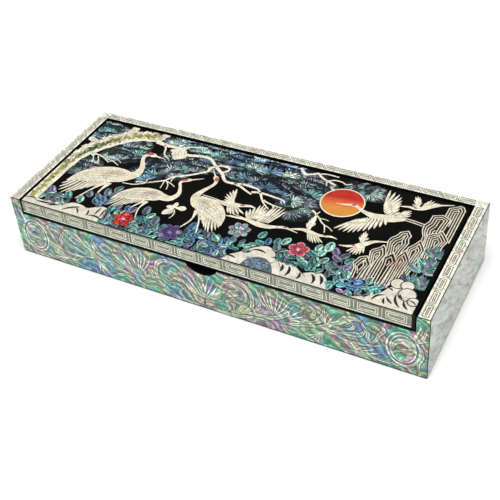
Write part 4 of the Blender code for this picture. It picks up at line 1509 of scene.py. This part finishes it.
# Fronds: the tone, the half width at the root, in the middle and at the tip, and the middle line
FRONDS = (
    ("sage", (0.5, 1.2, 0.4), ((2, 2.2), (12, 1.8), (22, 2.6), (32, 5.6), (40, 6.4))),
    ("coral", (1.8, 2.6, 1.4), ((-0.5, 4.6), (3, 5.4), (6.4, 6.8))),
    ("sand", (1.0, 2.6, 1.4), ((4, 9.4), (8, 12.6), (10.6, 15.4))),
    ("sand", (0.5, 1.0, 0.3), ((13.4, 3), (16.2, 6.8), (14.4, 10.6), (17.4, 13.2), (21.6, 12.2))),
    ("sand", (0.6, 2.9, 2.2), ((14.6, 15.2), (18, 18.4), (22, 20.2))),
    ("coral", (0.7, 1.5, 1.1), (
        (11.6, 21), (14.6, 25.6), (19.8, 28.2), (25.2, 27.6), (29.4, 24), (30.8, 18), (29.8, 12), (26, 7.6),
    )),
    ("sage", (0.4, 1.0, 0.3), ((21, 24.6), (25, 23.6), (27, 20), (26.4, 15.6), (23, 12.6))),
    ("sage", (0.8, 1.5, 1.0), ((26, 7.4), (33, 8.2), (40, 8.8), (46.4, 11.2), (52, 15.2))),
    ("coral", (0.5, 1.3, 0.3), ((31, 10.6), (34.6, 14), (35.6, 18.4))),
    ("sage", (0.6, 1.7, 0.5), ((50, 8.8), (56, 9.8), (62, 12.4), (68, 13.4), (73.6, 12.8))),
    ("sage", (0.6, 1.1, 0.3), ((47, 5.8), (54, 6.6), (59, 4.8), (64, 2.2))),
    ("sage", (0.5, 1.8, 0.4), ((53.4, 25.4), (58, 28.6), (64.4, 29.8))),
    ("sand", (0.5, 1.2, 1.0), ((60, 20), (61.4, 24.6), (65.4, 26), (67.8, 23), (65.4, 20.6))),
    ("sage", (0.6, 2.1, 0.5), ((64.6, 14.8), (69.6, 17.6), (72.6, 22.4), (73.4, 28.4))),
    ("coral", (1.0, 2.2, 1.2), ((70, 14), (74, 15.4), (77, 18.4))),
    ("sand", (0.8, 2.3, 0.5), ((76, 19), (81, 21), (85, 25.4), (90.4, 27.6), (95, 26.6))),
    ("sand", (0.4, 1.1, 0.8), ((83, 17.6), (88, 19.4), (90, 22.4), (87.4, 24.2), (85.6, 22.2))),
    ("sage", (0.5, 2.0, 0.5), ((80, 13.6), (87, 15.6), (93.6, 17.4), (96, 21.4))),
    ("coral", (0.4, 0.8, 0.5), ((79.6, 11.8), (84, 10.2), (92, 10.6), (100, 12.2), (107, 15.4))),
    ("coral", (0.8, 1.3, 0.4), ((99.6, 13.4), (97.4, 16.8), (97.6, 20), (95.2, 24), (93.8, 28.2))),
    ("coral", (0.8, 1.2, 0.4), (
        (99.6, 13.4), (102.4, 17.4), (103.8, 21.6), (106.4, 25.4), (103.6, 28.4), (98, 28.2),
    )),
    ("sage", (0.4, 1.1, 0.4), ((82, 3.2), (90, 3.8), (97, 4.4), (107, 3.6), (118, 4.6), (124, 8))),
    ("sand", (0.4, 0.9, 0.3), ((90.6, 4.4), (93.4, 7.4), (97.4, 9.2))),
    ("sand", (0.5, 2.7, 1.0), (
        (110.8, 14.4), (112.4, 19.6), (117, 22.2), (121.2, 19.8), (120.4, 15.8), (116.4, 14.8),
    )),
    ("coral", (0.4, 0.9, 0.3), ((110, 11.6), (114, 14.2), (118, 16.4), (122, 17.4))),
    ("coral", (0.5, 1.1, 0.4), ((122.6, 22.4), (125.8, 26.2), (127.6, 30.6), (128.2, 35.6))),
    ("sage", (0.4, 1.3, 0.4), ((125.8, 3.2), (125, 9), (127, 15), (126, 21.6))),
)
# Combs of narrow leaves: where they start, and their tips
COMBS = (
    ((43.6, 11), (
        (33.4, 28.4), (36.4, 29.6), (39.4, 29.2), (42, 27.2), (46.8, 28.6), (50, 28), (53, 25), (54.4, 21),
        (54.4, 17),
    )),
    ((51.4, 12), ((57, 24.4), (60.6, 21.8), (62.4, 18.6), (63, 15.6))),
    ((73.4, 13.4), ((76.6, 26.6), (79.6, 26), (82.4, 24), (81, 15), (80.6, 12.2))),
    ((73.4, 12.4), ((61.4, 4.4), (63.6, 2.4), (66.4, 1.8), (69.2, 2), (72, 3))),
    ((122.4, 23.6), ((123.6, 31), (126, 36.6), (129, 32.6), (128.8, 27.4))),
    ((92.4, 5), ((84.6, 9.4), (87.8, 10), (101.4, 10), (104.6, 8.6))),
    ((0, 7), ((1.6, 24.6), (4.6, 25.4), (7.6, 24.2), (10, 21.8), (11.4, 18.4))),
)
# The roundel's middle, and the half lengths, half heights and half widths of its rings
ROUNDEL = (116.6, 16.6)
ROUNDEL_RINGS = ((8.9, 11.6, 0.55), (6.9, 9.4, 0.45))
# The lines on a frond: the place across it, the half width and the tone
FROND_LINES = ((0.68, 0.27, "pearl"), (-0.68, 0.27, "pearl"), (0.1, 0.16, "scroll_edge"))
# Heights over the front
FROND_EDGE_TOP, FROND_TOP, FROND_LINE_TOP, COMB_TOP = 0.155, 0.175, 0.192, 0.18
ROUNDEL_EDGE_TOP, ROUNDEL_TOP = 0.158, 0.178


def frond(drawing, tone, halves, line, tones):
    """A frond: its body on a wider dark edge, with light lines near its rims and a dark one between them."""
    count = 6 * len(line)
    path = smooth(line, count)
    half = resampled(halves, count)
    drawing.lines(path, half + 0.75, FROND_EDGE_TOP, tones["scroll_edge"] * 0.2)
    drawing.lines(path, half, FROND_TOP, tones[tone])
    side = mitred(path[None])[0] * half[:, None]
    for place, width, name in FROND_LINES:
        halves = np.minimum(width, 0.3 * half)
        drawing.lines(path + side * place, halves, FROND_LINE_TOP, tones[name])


def comb(drawing, root, tips, tones):
    """A comb: narrow light leaves from near one root to their tips, each on a dark edge, bent outwards."""
    bend = np.linspace(0.10, -0.10, len(tips)) * np.sign(tips[-1, 0] - tips[0, 0])
    edge = (0.60, 0.02, tones["scroll_edge"] * 0.35)
    start = between(root, tips, 0.12)
    drawing.edged(start, tips, 0.55, COMB_TOP, tones["pearl"], stroke_shape, edge, bend)


def front_scrolls(drawing, tones):
    """The scrolls of the right half and their mirror image, with a ringed roundel near each end."""
    around = ray(np.linspace(0, math.tau, 49)[:-1])
    for side in (-1, 1):
        mirror = np.array([side, 1.0])
        for width, height, half in ROUNDEL_RINGS:
            ring = (np.array(ROUNDEL) + around * (width, height)) * mirror
            drawing.lines(ring, half + 0.5, ROUNDEL_EDGE_TOP, tones["scroll_edge"] * 0.4, loop=True)
            drawing.lines(ring, half, ROUNDEL_TOP, tones["pearl"], loop=True)
        for tone, halves, line in FRONDS:
            frond(drawing, tone, halves, np.array(line) * mirror, tones)
        for root, tips in COMBS:
            comb(drawing, np.array(root) * mirror, np.array(tips) * mirror, tones)


# Operators

# The frets' height on the rails, and how far their row stays from a square end and goes into a mitre
RAIL_FRETS, RAIL_BARE, RAIL_OVERLAP = 3.2, 0.4, 0.5
# The lid's band: the bare lacquer left, right and above, the frets' height and how far they're moved up, how
# far the frets and the lines stay from its ends, and the lines along its foot: rise, half width and tone
BAND_LEFT, BAND_RIGHT, BAND_UPPER = 0.7, 1.8, 0.5
BAND_FRETS, BAND_MOVE = 5.9, 0.35
BAND_FRETS_BARE, BAND_LINES_BARE = 0.4, 0.3
BAND_LINES = ((0.15, 0.45, "pearl"), (0.8, 0.16, "fret"))


class PENCASE_OT_boards(bpy.types.Operator):
    """Lacquers the boards of the case and gives the hinge pins their brass"""

    bl_idname = "pencase.boards"
    bl_label = "Finish the boards and pins"

    def execute(self, context):
        for name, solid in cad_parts.items():
            solid.data.materials.clear()
            finish = "brass_finish" if name.startswith("hinge_pin") else "lacquer_finish"
            solid.data.materials.append(finish_of(finish))
        return {"FINISHED"}


class PENCASE_OT_side_sheets(bpy.types.Operator):
    """Covers the front with abalone, and the ends and the back with grey shell"""

    bl_idname = "pencase.side_sheets"
    bl_label = "Cover the sides"

    def execute(self, context):
        size, tones = sizes(), colours()
        sheets = (
            ("front_sheet", front_sheet(FRONT, size, tones), "abalone_veneer", "abalone_finish"),
            ("end_sheet_right", end_sheet(RIGHT_END, PIN_Y, size, tones), "grey_shell_veneer", "end_shell"),
            ("end_sheet_left", end_sheet(LEFT_END, -PIN_Y, size, tones), "grey_shell_veneer", "end_shell"),
            ("back_sheet", back_sheet(BACK, size, tones), "grey_shell_veneer", "back_shell"),
        )
        for name, drawing, slot, finish in sheets:
            drawing.make(name, "case", slot, finish_of(finish))
        return {"FINISHED"}


class PENCASE_OT_rails(bpy.types.Operator):
    """Lays the pale sheets and their frets on the three rails"""

    bl_idname = "pencase.rails"
    bl_label = "Lay the rails"

    def execute(self, context):
        size, tones = sizes(), colours()
        rails = (
            ("rail_left", LEFT_RAIL, 2 * HALF_DEPTH, WALL, BACK_WALL, (False, True)),
            ("rail_right", RIGHT_RAIL, 2 * HALF_DEPTH, WALL, BACK_WALL, (True, False)),
            ("rail_back", BACK_RAIL, 2 * HALF_LENGTH, BACK_WALL, WALL, (True, True)),
        )
        for name, face, long, width, crossing, mitres in rails:
            sheet, frets = Drawing(face), Drawing(face)
            rail_sheet(sheet, long, width, crossing, mitres, size, tones)
            first, last = (crossing - RAIL_OVERLAP if mitred_end else RAIL_BARE for mitred_end in mitres)
            bars = ((0, "fret"),)
            fret_border(frets, first, long - last, size["rail_pitch"], RAIL_FRETS, bars, size, tones)
            sheet.make(f"{name}_sheet", "case", "grey_shell_veneer", finish_of("rail_shell"))
            frets.make(f"{name}_frets", "case", "grey_shell_veneer", finish_of("fret_lines"))
        return {"FINISHED"}


class PENCASE_OT_lid_band(bpy.types.Operator):
    """Lays the fret band on the lid's front edge"""

    bl_idname = "pencase.lid_band"
    bl_label = "Lay the lid's band"

    def execute(self, context):
        size, tones = sizes(), colours()
        left, right = LID_LOW[0] + BAND_LEFT, LID_HIGH[0] - BAND_RIGHT
        low, high = LID_LOW[2] + size["band_low"], LID_HIGH[2] - BAND_UPPER
        half = (high - low) / 2
        sheet, frets = (
            Drawing(Face((0, LID_LOW[1], (low + high) / 2 + move), (1, 0, 0), (0, 0, 1)))
            for move in (0, BAND_MOVE)
        )
        sheet.bands(np.linspace(left, right, 3), -half, half, size["sheet"], tones["band"])
        for name, share in (("fret", 0.45), ("pearl", 0.25)):
            tones[name] = between(tones[name], tones["band"], share)
        bars = ((-0.5, "fret"), (0, "pearl"), (0.5, "fret"))
        start, end = left + BAND_FRETS_BARE, right - BAND_FRETS_BARE
        fret_border(frets, start, end, size["band_pitch"], BAND_FRETS, bars, size, tones)
        start, end = left + BAND_LINES_BARE, right - BAND_LINES_BARE
        for rise, line_half, name in BAND_LINES:
            ends = [(start, rise - half), (end, rise - half)]
            frets.lines(ends, line_half, size["sheet"] + FRET_RISE, tones[name])
        sheet.make("lid_band_sheet", "lid", "grey_shell_veneer", finish_of("band_shell"))
        frets.make("lid_band_frets", "lid", "grey_shell_veneer", finish_of("fret_lines"))
        return {"FINISHED"}


class PENCASE_OT_scrolls(bpy.types.Operator):
    """Inlays the scrollwork of the front"""

    bl_idname = "pencase.scrolls"
    bl_label = "Inlay the front's scrolls"

    def execute(self, context):
        drawing = Drawing(FRONT)
        front_scrolls(drawing, colours())
        drawing.make("front_scrolls", "case", "abalone_veneer", finish_of("scroll_shell"))
        return {"FINISHED"}


def lid_piece(name, draw, finish):
    """Draws one kind of inlay on the lid's upper face and makes its piece."""
    drawing = Drawing(LidTop())
    draw(drawing, colours())
    drawing.make(name, "lid", "black_lacquer", finish_of(finish))


class PENCASE_OT_pines(bpy.types.Operator):
    """Inlays the pine's trunk, branches and needles"""

    bl_idname = "pencase.pines"
    bl_label = "Inlay the pines"

    def execute(self, context):
        lid_piece("pine_needles", pine_needles, "coloured_shell")
        lid_piece("pine_wood", pine_wood, "cream_shell")
        return {"FINISHED"}


class PENCASE_OT_cranes(bpy.types.Operator):
    """Inlays the standing and the flying cranes, and the butterfly"""

    bl_idname = "pencase.cranes"
    bl_label = "Inlay the cranes"

    def execute(self, context):
        for name, draw in (
            ("standing_cranes", standing_cranes), ("flying_cranes", flying_cranes), ("butterfly", butterfly),
        ):
            lid_piece(name, draw, "cream_shell")
        return {"FINISHED"}


class PENCASE_OT_sun_and_rocks(bpy.types.Operator):
    """Inlays the red sun and the nested rocks"""

    bl_idname = "pencase.sun_and_rocks"
    bl_label = "Inlay the sun and the rocks"

    def execute(self, context):
        lid_piece("sun", sun, "red_lacquer")
        lid_piece("rocks", rocks, "cream_shell")
        return {"FINISHED"}


class PENCASE_OT_garden(bpy.types.Operator):
    """Inlays the banks, leaves, flowers and grass along the lid's front"""

    bl_idname = "pencase.garden"
    bl_label = "Inlay the flower bank"

    def execute(self, context):
        lid_piece("banks", banks, "cream_shell")
        lid_piece("flower_bank", flower_bank, "coloured_shell")
        lid_piece("grass_clumps", grass_clumps, "coloured_shell")
        return {"FINISHED"}


# Stage

CAMERA_PLACE = (0.22334, -0.37073, 0.37573)
CAMERA_AZIMUTH, CAMERA_ELEVATION, CAMERA_ROLL = 31.185, 37.652, -5.541
CAMERA_LENS = 68.43
CAMERA_SHIFT = (0.02, -0.1)
# The floor's size, and its height, a little under the case so that the two don't share a plane
FLOOR_SIZE, FLOOR_HEIGHT = 6.0, -0.0002
# The strength of the white world that fills the shadows
WORLD_STRENGTH = 0.066
# Soft boxes: name, place, width, height and power; all face the case
SOFT_BOXES = (
    ("overhead", (0.3, -0.6, 3.0), 2.4, 2.4, 108.0),
    ("right", (3.0, -0.5, 1.3), 2.0, 2.0, 38.0),
    ("front", (-0.9, -2.8, 1.6), 2.4, 2.0, 36.0),
)


def placed(name, data):
    """A new object in the scene."""
    made = bpy.data.objects.new(name, data)
    bpy.context.scene.collection.objects.link(made)
    return made


def add_floor():
    """A flat square of floor under the case."""
    mesh = bpy.data.meshes.new("floor")
    steps = np.linspace(-0.5, 0.5, 3) * FLOOR_SIZE
    u, v = (grid.ravel() for grid in np.meshgrid(steps, steps))
    corner = np.array([0, 1, 4, 3]) + np.array([0, 1, 3, 4])[:, None]
    mesh.from_pydata(np.stack([u, v, np.full(9, FLOOR_HEIGHT)], axis=-1), [], corner.tolist())
    mesh.materials.append(finish_of("studio_floor"))
    floor = placed("floor", mesh)


def add_lights(scene):
    """The soft boxes, each turned to the case, and a weak white world."""
    for name, place, width, height, power in SOFT_BOXES:
        light = bpy.data.lights.new(name, "AREA")
        light.shape = "RECTANGLE"
        light.size, light.size_y = width, height
        light.energy = power
        lamp = placed(name, light)
        lamp.location = place
        lamp.rotation_mode = "QUATERNION"
        lamp.rotation_quaternion = (-Vector(place)).to_track_quat("-Z", "Y")
    world = bpy.data.worlds.new("studio")
    world.use_nodes = True
    background = world.node_tree.nodes["Background"].inputs
    background["Color"].default_value = (1, 1, 1, 1)
    background["Strength"].default_value = WORLD_STRENGTH
    scene.world = world


def add_camera(scene):
    """The camera: turned about Z by its azimuth, then tilted up from below, then rolled about its view."""
    data = bpy.data.cameras.new("camera")
    data.lens = CAMERA_LENS
    data.shift_x, data.shift_y = CAMERA_SHIFT
    data.clip_start, data.clip_end = 0.01, 20.0
    turn = Matrix.Rotation(math.radians(CAMERA_AZIMUTH), 4, "Z")
    tilt = Matrix.Rotation(math.radians(90 - CAMERA_ELEVATION), 4, "X")
    roll = Matrix.Rotation(math.radians(CAMERA_ROLL), 4, "Z")
    camera = placed("camera", data)
    camera.matrix_world = Matrix.Translation(CAMERA_PLACE) @ turn @ tilt @ roll
    scene.camera = camera


class PENCASE_OT_stage(bpy.types.Operator):
    """Sets the pale floor, the soft boxes and the camera"""

    bl_idname = "pencase.stage"
    bl_label = "Set the stage"

    def execute(self, context):
        add_floor()
        add_lights(context.scene)
        add_camera(context.scene)
        context.scene.view_settings.view_transform = "Standard"
        return {"FINISHED"}


OPERATORS = (
    PENCASE_OT_stage, PENCASE_OT_boards, PENCASE_OT_side_sheets, PENCASE_OT_rails, PENCASE_OT_lid_band,
    PENCASE_OT_scrolls, PENCASE_OT_pines, PENCASE_OT_cranes, PENCASE_OT_sun_and_rocks, PENCASE_OT_garden,
)


class PENCASE_PT_panel(bpy.types.Panel):
    """The pen case's steps, sizes and colours"""

    bl_idname = "PENCASE_PT_panel"
    bl_label = "Pen Case"
    bl_space_type = "VIEW_3D"
    bl_region_type = "UI"
    bl_category = "Pen Case"

    def draw(self, context):
        for operator in OPERATORS:
            self.layout.operator(operator.bl_idname)
        for group in (context.scene.pen_case_sizes, context.scene.pen_case_colours):
            box = self.layout.box()
            for name in group.__annotations__:
                box.prop(group, name)


CLASSES = (PenCaseSizes, PenCaseColours, *OPERATORS, PENCASE_PT_panel)


def register():
    """Registers the classes and hangs the two groups of properties on the scene."""
    for made in CLASSES:
        bpy.utils.register_class(made)
    bpy.types.Scene.pen_case_sizes = bpy.props.PointerProperty(type=PenCaseSizes)
    bpy.types.Scene.pen_case_colours = bpy.props.PointerProperty(type=PenCaseColours)


def unregister():
    """Undoes what register does."""
    del bpy.types.Scene.pen_case_colours
    del bpy.types.Scene.pen_case_sizes
    for made in reversed(CLASSES):
        bpy.utils.unregister_class(made)


def main():
    """Makes the stage and every piece."""
    register()
    for operator in OPERATORS:
        group, name = operator.bl_idname.split(".")
        getattr(getattr(bpy.ops, group), name)()


if __name__ == "__main__":
    main()
